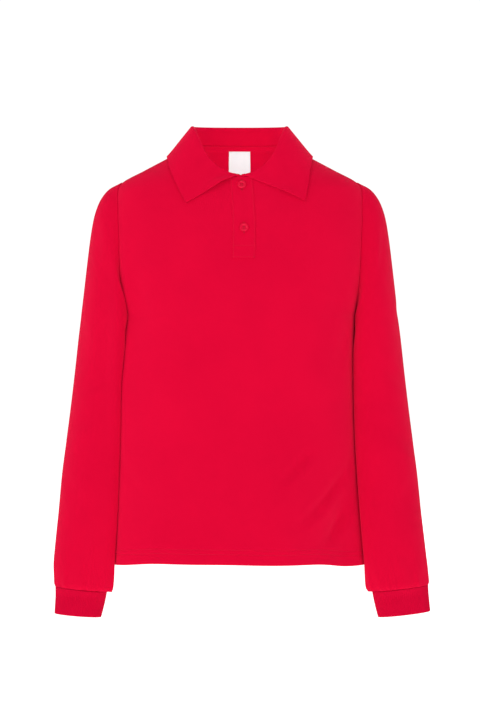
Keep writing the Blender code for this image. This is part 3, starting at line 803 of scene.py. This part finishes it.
# Soft creases of each sleeve, as for the panels, but measured round from the outer side line to the front.
SLEEVE_CREASES = {
    "left": (
        (30, -98, 64, -180, 4, 10, 1.2),
        (-10, -200, 28, -262, 5, 12, 1.2),
        (75, -286, 12, -318, 4, 8, 1.4),
        (86, -330, 30, -352, 3, 7.5, 1.3),
        (70, -372, 4, -420, -4, 9, 1.2),
        (20, -440, 56, -500, 4, 10, 1.2),
        (62, -520, 30, -572, 3, 8.5, 1.2),
        (-40, -130, -70, -205, 4, 11, 1.4),
        (-85, -290, -30, -330, -4, 8.5, 1.6),
        (-90, -350, -30, -372, -4, 8, 1.5),
        (-60, -400, -20, -470, 4, 10, 1.3),
    ),
    "right": (
        (26, -92, 58, -168, 4, 11, 1),
        (6, -215, 40, -290, 5, 12, 1.1),
        (82, -300, 24, -328, 4, 8, 1.2),
        (78, -352, 16, -392, -4, 9, 1.2),
        (10, -430, 52, -482, 4, 10, 1.1),
        (64, -505, 40, -575, 3, 9, 1.4),
        (-36, -120, -72, -190, 4, 11, 1.4),
        (-88, -300, -28, -345, -4, 8.5, 1.5),
        (-80, -370, -34, -392, -4, 8, 1.4),
        (-56, -420, -30, -500, 4, 10, 1.2),
    ),
}


def tube_points(table, hand, stations, turns, fit_to_armhole=False):
    """Rings of a sleeve or cuff, from the outer side line (turn 0) by the front to the inner seam (pi)."""
    row = table.at(stations[:, None])
    turns = np.mod(turns, 2 * math.pi)[None, :]
    hang = SLEEVE_HANG[hand].at(row.outer_z)
    side = np.where(turns <= math.pi, FRONT, BACK)
    out = (1 + np.cos(turns)) / 2
    x = lerp(row.inner_x, row.outer_x + hang.outward, out)
    z = lerp(row.inner_z, row.outer_z + hang.up, out)
    reach = np.where(side == FRONT, row.front, row.back)
    y = side * reach * np.sqrt(np.maximum(0, 1 - np.abs(np.cos(turns)) ** row.roundness)) - row.forward
    out_on = 1 if hand == "left" else -1
    if fit_to_armhole:
        hug = getattr(SLEEVE_HUG.at(z), hand)
        x = x - hug * np.clip(stations[:, None] / HUG_RINGS, 0, 1) * (1 - out)
        cap = np.maximum(0, 1 - stations[:, None] / CAP_RINGS) ** 2
        short = np.where(side == FRONT, turns, 2 * math.pi - turns)
        start = table.at(np.zeros(1))
        plain = lerp(start.inner_x, start.outer_x, (1 + np.cos(short)) / 2)
        seam = ring_point(armhole_height(short), armhole_angle(short, side) * out_on, side)
        x = x + (seam[..., 0] * out_on - plain) * cap
    points = point_array(x * out_on, y, z)
    if fit_to_armhole:
        near_armpit = bell(z - ARMPIT_Z + ARMPIT_AIR_DROP, ARMPIT_AIR_SPREAD)
        air = SLEEVE_AIR + ARMPIT_AIR * near_armpit
        clearance = air * np.minimum(1, stations[:, None] * AIR_GROWTH)
        points = bridged(np.where(stations[:, None, None] > 0, lifted_off(points, clearance), points))
    return points


def gathered(turns, from_seam):
    """The small pleats where the sleeve's wide end is eased into the cuff, unlike in width and length."""
    wander = turns + 0.16 * np.sin(3 * turns + 0.7) + 0.09 * np.sin(7 * turns)
    reach = GATHER_LENGTH * (1 + 0.45 * np.sin(5 * turns + 1.2))
    fade = np.exp(-((from_seam / reach) ** 1.5)) * np.clip(from_seam / GATHER_START, 0.25, 1)
    return GATHER_DEPTH * fade * np.sin(GATHERS * wander) * (0.75 + 0.25 * np.sin(4 * turns))


def sleeve(hand):
    ends = math.pi * (1 - 2 * np.array((0.0,) + CLOSE_TO_SEAM))
    turns = np.unique(np.concatenate([np.linspace(-math.pi, math.pi, SLEEVE_COLUMNS), ends, -ends]))
    stations = np.unique(np.concatenate([np.linspace(0, SLEEVE_END, SLEEVE_ROWS), CLOSE_TO_ENDS]))
    points = tube_points(SLEEVE, hand, stations, turns, fit_to_armhole=True)
    if hand == "right":
        points = points[:, ::-1]
        turns = turns[::-1]
    normals = grid_normals(points, tube=True)
    along = lengths_along(points, 1)
    down = lengths_along(points, 0)
    around = (along - along[:, -1:] / 2) * (1 if hand == "left" else -1)
    to_cuff = down[-1:] - down
    to_seam = np.minimum(along, along[:, -1:] - along)
    rise = creased(around, points[..., 2], SLEEVE_CREASES[hand])
    rise *= np.clip(down / SLEEVE_TOP_FLAT, 0, 1) ** 2 * np.clip(to_seam / SLEEVE_SEAM_FLAT, 0, 1)
    rise += gathered(turns[None, :], to_cuff)
    rise -= SEAM_DIP * (bell(to_seam, SEAM_SOFTNESS) + bell(down, SEAM_SOFTNESS))
    points = points + normals * rise[..., None]
    normals = grid_normals(points, tube=True)
    top = np.array([points[0] - normals[0] * d for d in ALLOWANCE[::-1]])
    bottom = np.array([points[-1] - normals[-1] * d for d in ALLOWANCE])
    whole = np.concatenate([top, points, bottom])
    edge = len(ALLOWANCE)
    above, below = np.repeat(normals[:1], edge, axis=0), np.repeat(normals[-1:], edge, axis=0)
    sheet = turned_in(whole, np.concatenate([above, normals, below]))
    skip = np.zeros((sheet.shape[0] - 1, sheet.shape[1] - 1), bool)
    for ends_of in (slice(0, edge), slice(-edge, None)):
        skip[ends_of, :edge] = True
        skip[ends_of, -edge:] = True
    return finished(cloth("sleeve_of_" + hand, sheet, PIQUE, pique, skip=skip))


for wearers_side in ("left", "right"):
    made = worn(sleeve(wearers_side), "red_pique", "sleeve_" + wearers_side)


# Cuffs: a band of rib knit, folded double so that its lower edge is a fold, and stretched onto the sleeve's
# end. The ribs run along the arm, raised wales with narrow furrows between them.

CUFF = Table(
    "ring outer_x outer_z inner_x inner_z front back forward roundness",
    (0, 0.2500, -0.5884, 0.1779, -0.5966, 0.0256, 0.0250, 0.021, 2.1),
    (1, 0.2501, -0.5980, 0.1796, -0.6060, 0.0215, 0.0210, 0.021, 2.1),
    (2, 0.2508, -0.6110, 0.1824, -0.6187, 0.0192, 0.0188, 0.022, 2.1),
    (3, 0.2517, -0.6235, 0.1855, -0.6308, 0.0185, 0.0182, 0.022, 2.1),
)
CUFF_RIBS = 84
RIB_COLUMNS = 6
CUFF_ROWS = 16
CUFF_END = 3
RIB_HEIGHT = 0.00034
LOOP_PITCH = 0.0011
CUFF_LAYER = 0.0009
CUFF_FOLD_RADIUS = 0.00105
CUFF_FOLD_STEPS = 6
CUFF_INSIDE_ROWS = 12
CUFF_DEEP = (0.640, 0.0010, 0.0355, 1)
CUFF_BRIGHT = (0.700, 0.0018, 0.0405, 1)


def rib_finish(name, deep, bright):
    """Rib knit: a little deeper than the pique, with loops that show along each wale."""
    made, tree, shader = new_finish(name)
    dyed_cotton(shader, 0.94)
    loops = knit_wave(tree, "SINE", 1, LOOP_PITCH)
    relief = math_node(tree, "MULTIPLY_ADD", loops, 0.35, noise(tree, 2400.0, 3.0, 0.6))
    embossed(tree, shader, relief, 0.35, 0.0003)
    coloured(tree, shader, noise(tree, 30.0, 2.0, 0.5), 0.2, 0.8, deep, bright)
    return made


def cuff(hand):
    turns = np.linspace(-math.pi, math.pi, CUFF_RIBS * RIB_COLUMNS + 1)
    points = tube_points(CUFF, hand, np.linspace(0, CUFF_END, CUFF_ROWS), turns)
    if hand == "right":
        points = points[:, ::-1]
    normals = grid_normals(points, tube=True)
    wale = np.abs(np.cos(turns * CUFF_RIBS / 2)) ** 0.7
    points = points + normals * (RIB_HEIGHT * (wale - 0.5))[None, :, None]
    points[..., 2] += CUFF_FOLD_RADIUS * np.linspace(0, 1, CUFF_ROWS)[:, None]
    bends = [math.pi * k / CUFF_FOLD_STEPS for k in range(1, CUFF_FOLD_STEPS + 1)]
    bend = fold_rows(points[-1], normals[-1], unit(points[-1] - points[-2]), CUFF_FOLD_RADIUS, bends)
    inside = (points - normals * 2 * CUFF_FOLD_RADIUS)[-2 : -2 - CUFF_INSIDE_ROWS : -1]
    top = np.array([points[0] - normals[0] * d for d in ALLOWANCE[1::-1]])
    sheet = np.concatenate([top, points, np.array(bend), inside])
    return finished(cloth("cuff_of_" + hand, sheet, CUFF_LAYER, rib))


rib = rib_finish("red_rib_knit", CUFF_DEEP, CUFF_BRIGHT)
for wearers_side in ("left", "right"):
    made = worn(cuff(wearers_side), "red_rib", "cuff_" + wearers_side)


# Collar: one band knitted flat to its shape, with a finished outer edge. It stands up at the neck, rolls over
# and falls on the shoulders; its two ends meet at the placket and its points spread.

COLLAR_KNIT = 0.0015
STRIP_CLOTH = 0.0007
COLLAR = Table(
    "angle stand lean roll edge_x edge_z lift",
    (0, 0.0013, 0.00, 0.0015, 0.0760, -0.0745, 0.0022),
    (12, 0.0030, 0.03, 0.0017, 0.0798, -0.0670, 0.0015),
    (24, 0.0060, 0.08, 0.0019, 0.0836, -0.0585, 0.0010),
    (36, 0.0106, 0.15, 0.0022, 0.0870, -0.0500, 0.0006),
    (48, 0.0173, 0.22, 0.0025, 0.0900, -0.0415, 0.0004),
    (60, 0.0237, 0.27, 0.0026, 0.0925, -0.0330, 0.0002),
    (75, 0.0260, 0.28, 0.0027, 0.0952, -0.0230, 0.0001),
    (90, 0.0262, 0.28, 0.0028, 0.0968, -0.0150, 0.0008),
    (108, 0.0264, 0.28, 0.0028, 0.0905, -0.0120, 0.0010),
    (126, 0.0266, 0.28, 0.0028, 0.0765, -0.0115, 0.0015),
    (144, 0.0267, 0.28, 0.0028, 0.0560, -0.0118, 0.0020),
    (162, 0.0268, 0.28, 0.0028, 0.0295, -0.0125, 0.0025),
    (180, 0.0268, 0.28, 0.0028, 0.0000, -0.0130, 0.0025),
)
COLLAR_DEEP = (0.720, 0.0012, 0.0385, 1)
COLLAR_BRIGHT = (0.780, 0.0020, 0.0430, 1)
COLLAR_END_GAP = 0.0001
COLLAR_LINES = 121
STAND_POINTS = 7
ROLL_POINTS = 12
FALL_POINTS = 26
FALL_AIR = 0.0001
NEARBY = 0.02
OVER_PLACKET = 0.034
LEAN_SPAN = 0.15

# Of the left (1) and right (-1) half: how far its point lies from the table's place, across and up, and what
# share of the table's lift it has. Near its front end each half also stands off the shirt: where between the
# roll (0) and the edge (1), over what share of that way, and how far.
COLLAR_TIP_SHIFT = {1: (0.0059, -0.0026), -1: (-0.0033, -0.0053)}
COLLAR_TIP_REACH = math.radians(54)
COLLAR_LIFT = {1: 0.6, -1: 0.5}
COLLAR_EDGE_LIFT = {1: (0.72, 0.28, 0.0024), -1: (0.32, 0.30, 0.0062)}
COLLAR_EDGE_REACH = math.radians(10)


def dot(first, second):
    return np.sum(first * second, axis=-1, keepdims=True)


def collar_lines(angles, hand):
    """The collar's middle lines round the neck: each runs up the stand, over the roll and down the fall."""
    row = COLLAR.at(np.degrees(angles))
    side = np.where(angles <= math.pi / 2, FRONT, BACK)
    round_neck = np.where(side == FRONT, angles, math.pi - angles)
    seam = neck_point(round_neck, side)
    normal = form_normal(seam)[0]
    ahead, behind = np.minimum(round_neck + NEARBY, math.pi / 2), np.maximum(round_neck - NEARBY, 0)
    upward = unit(np.cross(normal, neck_point(ahead, side) - neck_point(behind, side)))
    upward = upward * np.copysign(1, upward[:, 2:])
    inward = point_array(-np.sin(angles), np.cos(angles), 0)
    clear = SEAM_GAP / 2 + COLLAR_KNIT / 2 * np.abs(dot(upward, inward))
    foot = seam - normal * PIQUE / 2 + upward * clear
    lean = leaned(0, foot[:, 2], side)
    foot[:, 0] = np.where(side == FRONT, lean + np.maximum(foot[:, 0] - lean, COLLAR_END_GAP), foot[:, 0])
    foot[:, 0] = np.where(angles > math.pi - 0.01, 0, foot[:, 0])
    up = unit(point_array(0, 0, 1) + inward * row.lean[:, None])
    stand = foot + up * row.stand[:, None]
    towards_tip = np.maximum(0, 1 - angles / COLLAR_TIP_REACH)
    shift_x, shift_z = COLLAR_TIP_SHIFT[hand]
    edge = surface_at(row.edge_x + shift_x * towards_tip, row.edge_z + shift_z * towards_tip, side)
    edge = lifted_off(edge, COLLAR_KNIT / 2 + SEAM_GAP + row.lift * COLLAR_LIFT[hand] + FALL_AIR)
    roll = row.roll[:, None]
    fall = unit(edge - stand)
    for _ in range(6):
        out = unit(fall - up * dot(fall, up))
        sweep = np.arccos(np.clip(dot(fall, up), -1, 1))
        centre = stand + out * roll
        below = centre - out * roll * np.cos(sweep) + up * roll * np.sin(sweep)
        fall = unit(edge - below)
    lift_place, lift_width, lift_height = COLLAR_EDGE_LIFT[hand]
    near_front = bell(angles, COLLAR_EDGE_REACH)
    lines = [lerp(foot, stand, k / (STAND_POINTS - 1)) for k in range(STAND_POINTS)]
    for k in range(1, ROLL_POINTS + 1):
        turn = sweep * k / ROLL_POINTS
        lines.append(centre - out * roll * np.cos(turn) + up * roll * np.sin(turn))
    for k in range(1, FALL_POINTS + 1):
        share = k / FALL_POINTS
        point = lerp(below, edge, share)
        near = np.maximum(0, 1 - (np.abs(point[:, 0]) / OVER_PLACKET) ** 4)
        over_placket = np.where(side == FRONT, near, 0)
        clearance = COLLAR_KNIT / 2 + SEAM_GAP + FALL_AIR + (STRIP_CLOTH + SEAM_GAP) * over_placket
        clearance = clearance + lift_height * bell(share - lift_place, lift_width) * near_front
        lines.append(lifted_off(point, clearance * min(1, 0.4 + share * 2)))
    grid = np.array(lines)
    if hand < 0:
        grid = grid * (-1, 1, 1)
        room = np.maximum(0, 1 - (np.abs(grid[..., 0]) / LEAN_SPAN) ** 2)
        back_again = 2 * leaned(0, grid[..., 2], FRONT) * room
        grid[..., 0] += np.where(side == FRONT, back_again, 0)
    return grid


angles = np.linspace(0, math.pi, COLLAR_LINES)
collar_grid = np.concatenate([collar_lines(angles, -1), collar_lines(angles, 1)[:, -2::-1]], axis=1)
collar_rib = rib_finish("red_collar_knit", COLLAR_DEEP, COLLAR_BRIGHT)
knitted_collar = finished(cloth("knitted_collar", collar_grid, COLLAR_KNIT, collar_rib, offset=0))
worn(knitted_collar, "red_rib", "collar")


# Placket: two strips of pique round the front's slit. The upper one shows, with its edges turned under. The
# lower one lies inside the slit, carries the buttons and reaches up behind the gap between the collar's ends.

PLACKET_WIDTH = 0.030
PLACKET_TOP_DROP = 0.0003
PLACKET_BOTTOM = -0.153
LOWER_STRIP_RISE = 0.0042
UPPER_STRIP_SOFTNESS = 0.0005
LOWER_STRIP_SOFTNESS = 0.0004
STRIP_COLUMNS = 24
STRIP_ROWS = 90


def strip_grid(offset, bottom, top, width, side=FRONT):
    """A flat strip's grid on a body panel: the panel's surface, moved out or in by the offset."""
    heights = np.linspace(bottom, top, STRIP_ROWS)[:, None]
    across = np.linspace(-width / 2, width / 2, STRIP_COLUMNS)[None, :] * side * -1
    grid = surface_at(*np.broadcast_arrays(across, heights), side)
    return grid + form_normal(grid)[0] * offset


def strip(name, grid, thickness, finish, softness):
    """A flat strip, with its cut or folded edges softened."""
    obj = cloth(name, grid, thickness, finish)
    angle = math.radians(60)
    modified(obj, "soft_edges", "BEVEL", width=softness, segments=3, limit_method="ANGLE", angle_limit=angle)
    return finished(obj)


strip_top = float(neck_height(0, FRONT)) - PLACKET_TOP_DROP
upper_grid = strip_grid(SEAM_GAP + STRIP_CLOTH, PLACKET_BOTTOM, strip_top, PLACKET_WIDTH)
lower_grid = strip_grid(-PIQUE - SEAM_GAP - EASE, PLACKET_BOTTOM, strip_top + LOWER_STRIP_RISE, PLACKET_WIDTH)
upper_strip = strip("placket_upper_strip", upper_grid, STRIP_CLOTH, pique, UPPER_STRIP_SOFTNESS)
lower_strip = strip("placket_lower_strip", lower_grid, STRIP_CLOTH, pique, LOWER_STRIP_SOFTNESS)
worn(upper_strip, "red_pique", "placket_upper")
worn(lower_strip, "red_pique", "placket_lower")

PLACKET_STITCHING = 0.0016
PLACKET_BOX = 0.0150
TOP_OF_STITCHING = 0.002


def on_placket(x, z):
    """Points just on the upper strip, measured from its middle line."""
    grid = surface_at(*np.broadcast_arrays(x, z), FRONT)
    return grid + form_normal(grid)[0] * (SEAM_GAP + STRIP_CLOTH + THREAD_HEIGHT)


def placket_stitches():
    edge = PLACKET_WIDTH / 2 - PLACKET_STITCHING
    low = PLACKET_BOTTOM + PLACKET_STITCHING
    heights = np.linspace(low, strip_top - TOP_OF_STITCHING, 60)
    lines = [on_placket(edge, heights), on_placket(-edge, heights)]
    for height in (low, low + PLACKET_BOX):
        lines.append(on_placket(np.linspace(-edge, edge, 12), height))
    return sewn("placket_stitches", lines, red_thread)


placket_sewing = worn(placket_stitches(), "red_pique")


# Buttons: two turned buttons of dyed plastic with a raised rim, four holes and crossed thread, sewn to the
# lower strip and fastened through buttonholes in the upper one.

BUTTON_RADIUS = 0.0058
BUTTON_THICKNESS = 0.0024
BUTTON_HEIGHTS = {"button_top": -0.0560, "button_second": -0.1130}
BUTTON_STEPS = 48
BUTTON_HOLE_RADIUS = 0.00075
BUTTON_HOLE_PLACE = 0.00145
BUTTON_THREAD = 0.00016
BUTTON_DEEP = (0.70, 0.0010, 0.034, 1)
BUTTON_BRIGHT = (0.77, 0.0018, 0.042, 1)
BUNDLE_ARCH = 0.00028
MIDDLE_STRAND_RISE = 0.00005
STRAND_PITCH = 0.00026
BUTTONHOLE_LENGTH = 0.0145
BUTTONHOLE_WIDTH = 0.0013
BUTTONHOLE_SLIT = 0.0003
BUTTONHOLE_PITCH = 0.00036
BUTTONHOLE_THREAD = 0.00013
BAR_POINTS = 7
BAR_ZIGZAG = 0.0004

# A button's outline from the middle of its top to that of its back, in shares of its radius and thickness.
BUTTON_TOP = 0.74
BUTTON_OUTLINE = (
    (0, BUTTON_TOP),
    (0.46, BUTTON_TOP),
    (0.58, 0.79),
    (0.68, 0.94),
    (0.76, 1),
    (0.88, 0.97),
    (0.97, 0.80),
    (1, 0.58),
    (0.96, 0.22),
    (0.80, 0.02),
    (0, 0),
)


def button_finish():
    made, tree, shader = new_finish("red_button_plastic")
    tuned(shader, Roughness=0.30, Specular_IOR_Level=0.12)
    coloured(tree, shader, noise(tree, 260.0, 3.0, 0.5), 0.25, 0.75, BUTTON_DEEP, BUTTON_BRIGHT)
    return made


def button(name, height, finish):
    outline = [(BUTTON_RADIUS * across, 0, BUTTON_THICKNESS * up) for across, up in BUTTON_OUTLINE]
    mesh = bpy.data.meshes.new(name + "_turned")
    mesh.from_pydata(outline, [(i, i + 1) for i in range(len(outline) - 1)], [])
    mesh.materials.append(finish)
    obj = placed(name + "_turned", mesh)
    turned = modified(obj, "turned", "SCREW", steps=BUTTON_STEPS, render_steps=BUTTON_STEPS)
    turned.use_merge_vertices = True
    turned.merge_threshold = 0.00001
    drills = []
    for quarter in range(4):
        turn = math.radians(45 + 90 * quarter)
        centre = Vector((math.cos(turn), math.sin(turn), 0)) * BUTTON_HOLE_PLACE
        centre.z = BUTTON_THICKNESS / 2
        size = {"radius": BUTTON_HOLE_RADIUS, "depth": BUTTON_THICKNESS * 3}
        bpy.ops.mesh.primitive_cylinder_add(vertices=16, location=centre, **size)
        drills.append(bpy.context.object)
        modified(obj, "hole", "BOOLEAN", operation="DIFFERENCE", object=drills[-1])
    finished(obj, sharp=35)
    for drill in drills:
        bpy.data.objects.remove(drill)
    seat = surface_at(np.zeros(1), np.full(1, height), FRONT)
    normal = Vector(form_normal(seat)[0][0])
    place = normal.to_track_quat("Z", "Y").to_matrix().to_4x4()
    place.translation = Vector(seat[0]) + normal * (2 * SEAM_GAP + STRIP_CLOTH + EASE / 2)
    obj.data.transform(place)
    return obj, place


def drawn_thread(name, runs, radius, thread):
    """Continuous thread along these runs of points, as one round-sectioned piece."""
    path = bpy.data.curves.new(name + "_path", "CURVE")
    path.dimensions = "3D"
    path.bevel_depth = radius
    path.bevel_resolution = 1
    path.use_fill_caps = True
    for run in runs:
        spline = path.splines.new("POLY")
        spline.points.add(len(run) - 1)
        for corner, place in zip(spline.points, run):
            corner.co = (*place, 1)
    carrier = placed(name + "_path", path)
    graph = bpy.context.evaluated_depsgraph_get()
    mesh = bpy.data.meshes.new_from_object(carrier.evaluated_get(graph))
    bpy.data.objects.remove(carrier)
    mesh.materials.clear()
    mesh.materials.append(thread)
    mesh.name = name
    mesh.shade_smooth()
    return placed(name, mesh)


def button_threads(place):
    """Two crossed bundles of three threads over the middle of a button, each down through a pair of holes."""
    over = BUTTON_THICKNESS * BUTTON_TOP + BUTTON_THREAD * 0.7
    runs = []
    for turn in (math.radians(45), math.radians(135)):
        along = Vector((math.cos(turn), math.sin(turn), 0))
        aside = Vector((-math.sin(turn), math.cos(turn), 0))
        for strand in (-1, 0, 1):
            run = []
            for step in np.linspace(-1, 1, 11):
                rise = over + BUNDLE_ARCH * (1 - step**2) + MIDDLE_STRAND_RISE * (strand == 0)
                if abs(step) > 0.9:
                    rise = BUTTON_THICKNESS * 0.15
                point = along * BUTTON_HOLE_PLACE * step + aside * strand * STRAND_PITCH
                run.append(place @ (point + Vector((0, 0, rise))))
            runs.append(run)
    return runs


def buttonhole(height):
    """A dense zigzag of thread on each side of the slit, with a bar across its ends."""
    run = []
    half = BUTTONHOLE_LENGTH / 2
    for side in (1, -1):
        for k in range(2 * int(BUTTONHOLE_LENGTH / BUTTONHOLE_PITCH) + 1):
            wide = (k % 2 == 0) == (side == 1)
            x = BUTTONHOLE_WIDTH if wide else BUTTONHOLE_SLIT
            run.append((side * x, height - side * (half - k * BUTTONHOLE_PITCH / 2)))
        for k in range(BAR_POINTS):
            end = half + (BAR_ZIGZAG if k % 2 else 0.0)
            run.append((side * BUTTONHOLE_WIDTH * (1 - k / 3), height + side * end))
    places = np.array(run)
    return on_placket(places[:, 0], places[:, 1]).tolist()


button_plastic = button_finish()
for name, height in BUTTON_HEIGHTS.items():
    made, seat = button(name, height, button_plastic)
    worn(made, "red_button", name)
    worn(drawn_thread(name + "_thread", button_threads(seat), BUTTON_THREAD, red_thread), "red_button")
    edge = drawn_thread(name + "_buttonhole", [buttonhole(height)], BUTTONHOLE_THREAD, red_thread)
    worn(edge, "red_pique")


# Neck tape and label: a strip of pique covers the back neck seam inside, and a plain white woven label hangs
# from it.

TAPE_CLOTH = 0.0010
TAPE_ABOVE = 0.0050
TAPE_BELOW = 0.0022
TAPE_DIP = 0.0010
TAPE_FROM = math.radians(106)
TAPE_COLUMNS = 90
TAPE_SOFTNESS = 0.0003
LABEL_CLOTH = 0.0006
LABEL_SOFTNESS = 0.0002
LABEL_WIDTH = 0.030
LABEL_TOP = 0.0012
LABEL_BOTTOM = -0.050
LABEL_DEPTH = -PIQUE - TAPE_CLOTH - 3 * SEAM_GAP
LABEL_SEWN_WIDTH = LABEL_WIDTH - 0.003
LABEL_STITCHES = {"pitch": 0.0026, "length": 0.0021}
LABEL_DEEP = (0.86, 0.94, 0.95, 1)
LABEL_BRIGHT = (0.90, 0.97, 0.98, 1)
WHITE_THREAD_DEEP = (0.80, 0.80, 0.82, 1)
WHITE_THREAD = (0.90, 0.90, 0.91, 1)


def tape_grid():
    angles = np.linspace(TAPE_FROM, math.pi, TAPE_COLUMNS)
    lines = collar_lines(angles, 1)
    foot, up = lines[0], unit(lines[1] - lines[0])
    inward = point_array(-np.sin(angles), np.cos(angles), 0)
    inside = inward * (COLLAR_KNIT / 2 + SEAM_GAP + EASE / 2)
    above = foot + up * TAPE_ABOVE + inside
    seam = foot + inside - (0, 0, TAPE_DIP)
    below = surface_at(foot[:, 0], foot[:, 2] - TAPE_BELOW, BACK)
    below = below - form_normal(below)[0] * (PIQUE + SEAM_GAP + EASE)
    lines = [lerp(below, seam, k / 4) for k in range(4)] + [lerp(seam, above, k / 6) for k in range(7)]
    grid = np.array(lines)
    return np.concatenate([grid, (grid * (-1, 1, 1))[:, -2::-1]], axis=1)


def label_finish():
    """Woven satin: fine weft lines across the label and a faint warp."""
    made, tree, shader = new_finish("white_woven_satin")
    tuned(shader, Roughness=0.55, Specular_IOR_Level=0.30, Sheen_Weight=0.10)
    place = wired(tree, "ShaderNodeTexCoord", out=3)
    weft = wired(tree, "ShaderNodeTexWave", place, 900.0, 0.6, 2.0, bands_direction="Z")
    warp = wired(tree, "ShaderNodeTexWave", place, 1500.0, 0.3, 1.0, bands_direction="X")
    embossed(tree, shader, math_node(tree, "MULTIPLY_ADD", warp, 0.4, weft), 0.25, 0.0001)
    coloured(tree, shader, noise(tree, 120.0, 2.0, 0.5), 0.2, 0.8, LABEL_DEEP, LABEL_BRIGHT)
    return made


laid_tape = tape_grid()
neck_tape = strip("back_neck_tape", laid_tape, TAPE_CLOTH, pique, TAPE_SOFTNESS)
worn(neck_tape, "red_pique", "neck_tape")
inside = laid_tape - unit(laid_tape * (1, 1, 0)) * (TAPE_CLOTH + THREAD_HEIGHT)
tape_stitches = worn(sewn("neck_tape_stitches", [inside[1], inside[-2]], red_thread), "red_pique")
label_grid = strip_grid(LABEL_DEPTH, LABEL_BOTTOM, LABEL_TOP, LABEL_WIDTH, side=BACK)
neck_label = strip("woven_neck_label", label_grid, LABEL_CLOTH, label_finish(), LABEL_SOFTNESS)
worn(neck_label, "white_label", "neck_label")
sewn_depth = LABEL_DEPTH - LABEL_CLOTH - THREAD_HEIGHT
label_line = strip_grid(sewn_depth, LABEL_BOTTOM, LABEL_TOP, LABEL_SEWN_WIDTH, side=BACK)[-3]
white_thread = thread_finish("white_sewing_thread", WHITE_THREAD_DEEP, WHITE_THREAD)
label_stitches = worn(sewn("label_stitches", [label_line], white_thread, **LABEL_STITCHES), "white_label")


# Studio: a white floor and white surroundings, a wide soft light in front and above on the viewer's left, and
# a level camera at the height of the shirt's middle.

CAMERA_DISTANCE = 3.2
CAMERA_HEIGHT = -0.286
CAMERA_SENSOR = 36
METRES_PER_PIXEL = 0.00135
PHOTO_WIDTH = 480
PHOTO_HEIGHT = 720
MIDDLE_LINE_PIXEL = 239.6
FLOOR_HEIGHT = -0.80
FLOOR_RADIUS = 12.0

# How bright the surroundings are to the camera, and as a light.
SEEN_WHITE = 1.05
LIT_WHITE = 0.38

# Each light's place, the point that it faces, its size, its power and whether the camera sees it.
LIGHTS = {
    "key_from_left": ((-2.6, -3.4, 1.5), (0, 0, -0.25), 2.4, 28, True),
    "overhead": ((0, -1.2, 2.4), (0, 0, -0.15), 2.4, 19, True),
    "front_fill": ((0.1, -4.8, 0.0), (0, 0, -0.3), 2.0, 41, True),
    "behind": ((1.2, 4.2, 1.4), (0, 0, -0.3), 2.4, 30, False),
    "inside_the_neck": ((0, -0.030, -0.075), (0, 0.055, -0.005), 0.05, 0.073, False),
}


def floor():
    middle = (0, 0, FLOOR_HEIGHT)
    bpy.ops.mesh.primitive_circle_add(vertices=96, radius=FLOOR_RADIUS, fill_type="NGON", location=middle)
    obj = bpy.context.object
    obj.name = "studio_floor"
    made, tree, shader = new_finish("white_floor")
    tuned(shader, Base_Color=(0.90, 0.90, 0.90, 1), Roughness=0.8)
    tuned(shader, Emission_Color=(1, 1, 1, 1), Emission_Strength=0.80)
    below = wired(tree, "ShaderNodeNewGeometry", out=6)
    clear = wired(tree, "ShaderNodeBsdfTransparent")
    mix = wired(tree, "ShaderNodeMixShader", below, shader.outputs[0], clear)
    tree.links.new(mix, tree.nodes["Material Output"].inputs["Surface"])
    obj.data.materials.append(made)


def soft_light(name, place, aim, size, watts, seen):
    light = bpy.data.lights.new(name, "AREA")
    light.shape = "SQUARE"
    light.size = size
    light.energy = watts
    obj = placed(name, light)
    obj.location = place
    obj.rotation_euler = (Vector(aim) - Vector(place)).to_track_quat("-Z", "Y").to_euler()
    obj.visible_camera = seen


def surroundings():
    world = bpy.data.worlds.new("white_studio")
    bpy.context.scene.world = world
    world.use_nodes = True
    tree = world.node_tree
    background = tree.nodes["Background"]
    tuned(background, Color=(1, 1, 1, 1))
    to_camera = wired(tree, "ShaderNodeLightPath")
    strength = wired(tree, "ShaderNodeMapRange", to_camera, 0.0, 1.0, LIT_WHITE, SEEN_WHITE)
    tree.links.new(strength, background.inputs["Strength"])


def level_camera():
    lens = bpy.data.cameras.new("photo_camera")
    lens.sensor_width = CAMERA_SENSOR
    lens.lens = CAMERA_SENSOR * CAMERA_DISTANCE / (PHOTO_HEIGHT * METRES_PER_PIXEL)
    lens.shift_x = (PHOTO_WIDTH / 2 - MIDDLE_LINE_PIXEL) / PHOTO_HEIGHT
    lens.clip_end = 60
    obj = placed("photo_camera", lens)
    obj.location = (0, -CAMERA_DISTANCE, CAMERA_HEIGHT)
    obj.rotation_euler = (math.pi / 2, 0, 0)
    bpy.context.scene.camera = obj


floor()
surroundings()
for name, light in LIGHTS.items():
    soft_light(name, *light)
level_camera()
bpy.context.scene.view_settings.view_transform = "Standard"
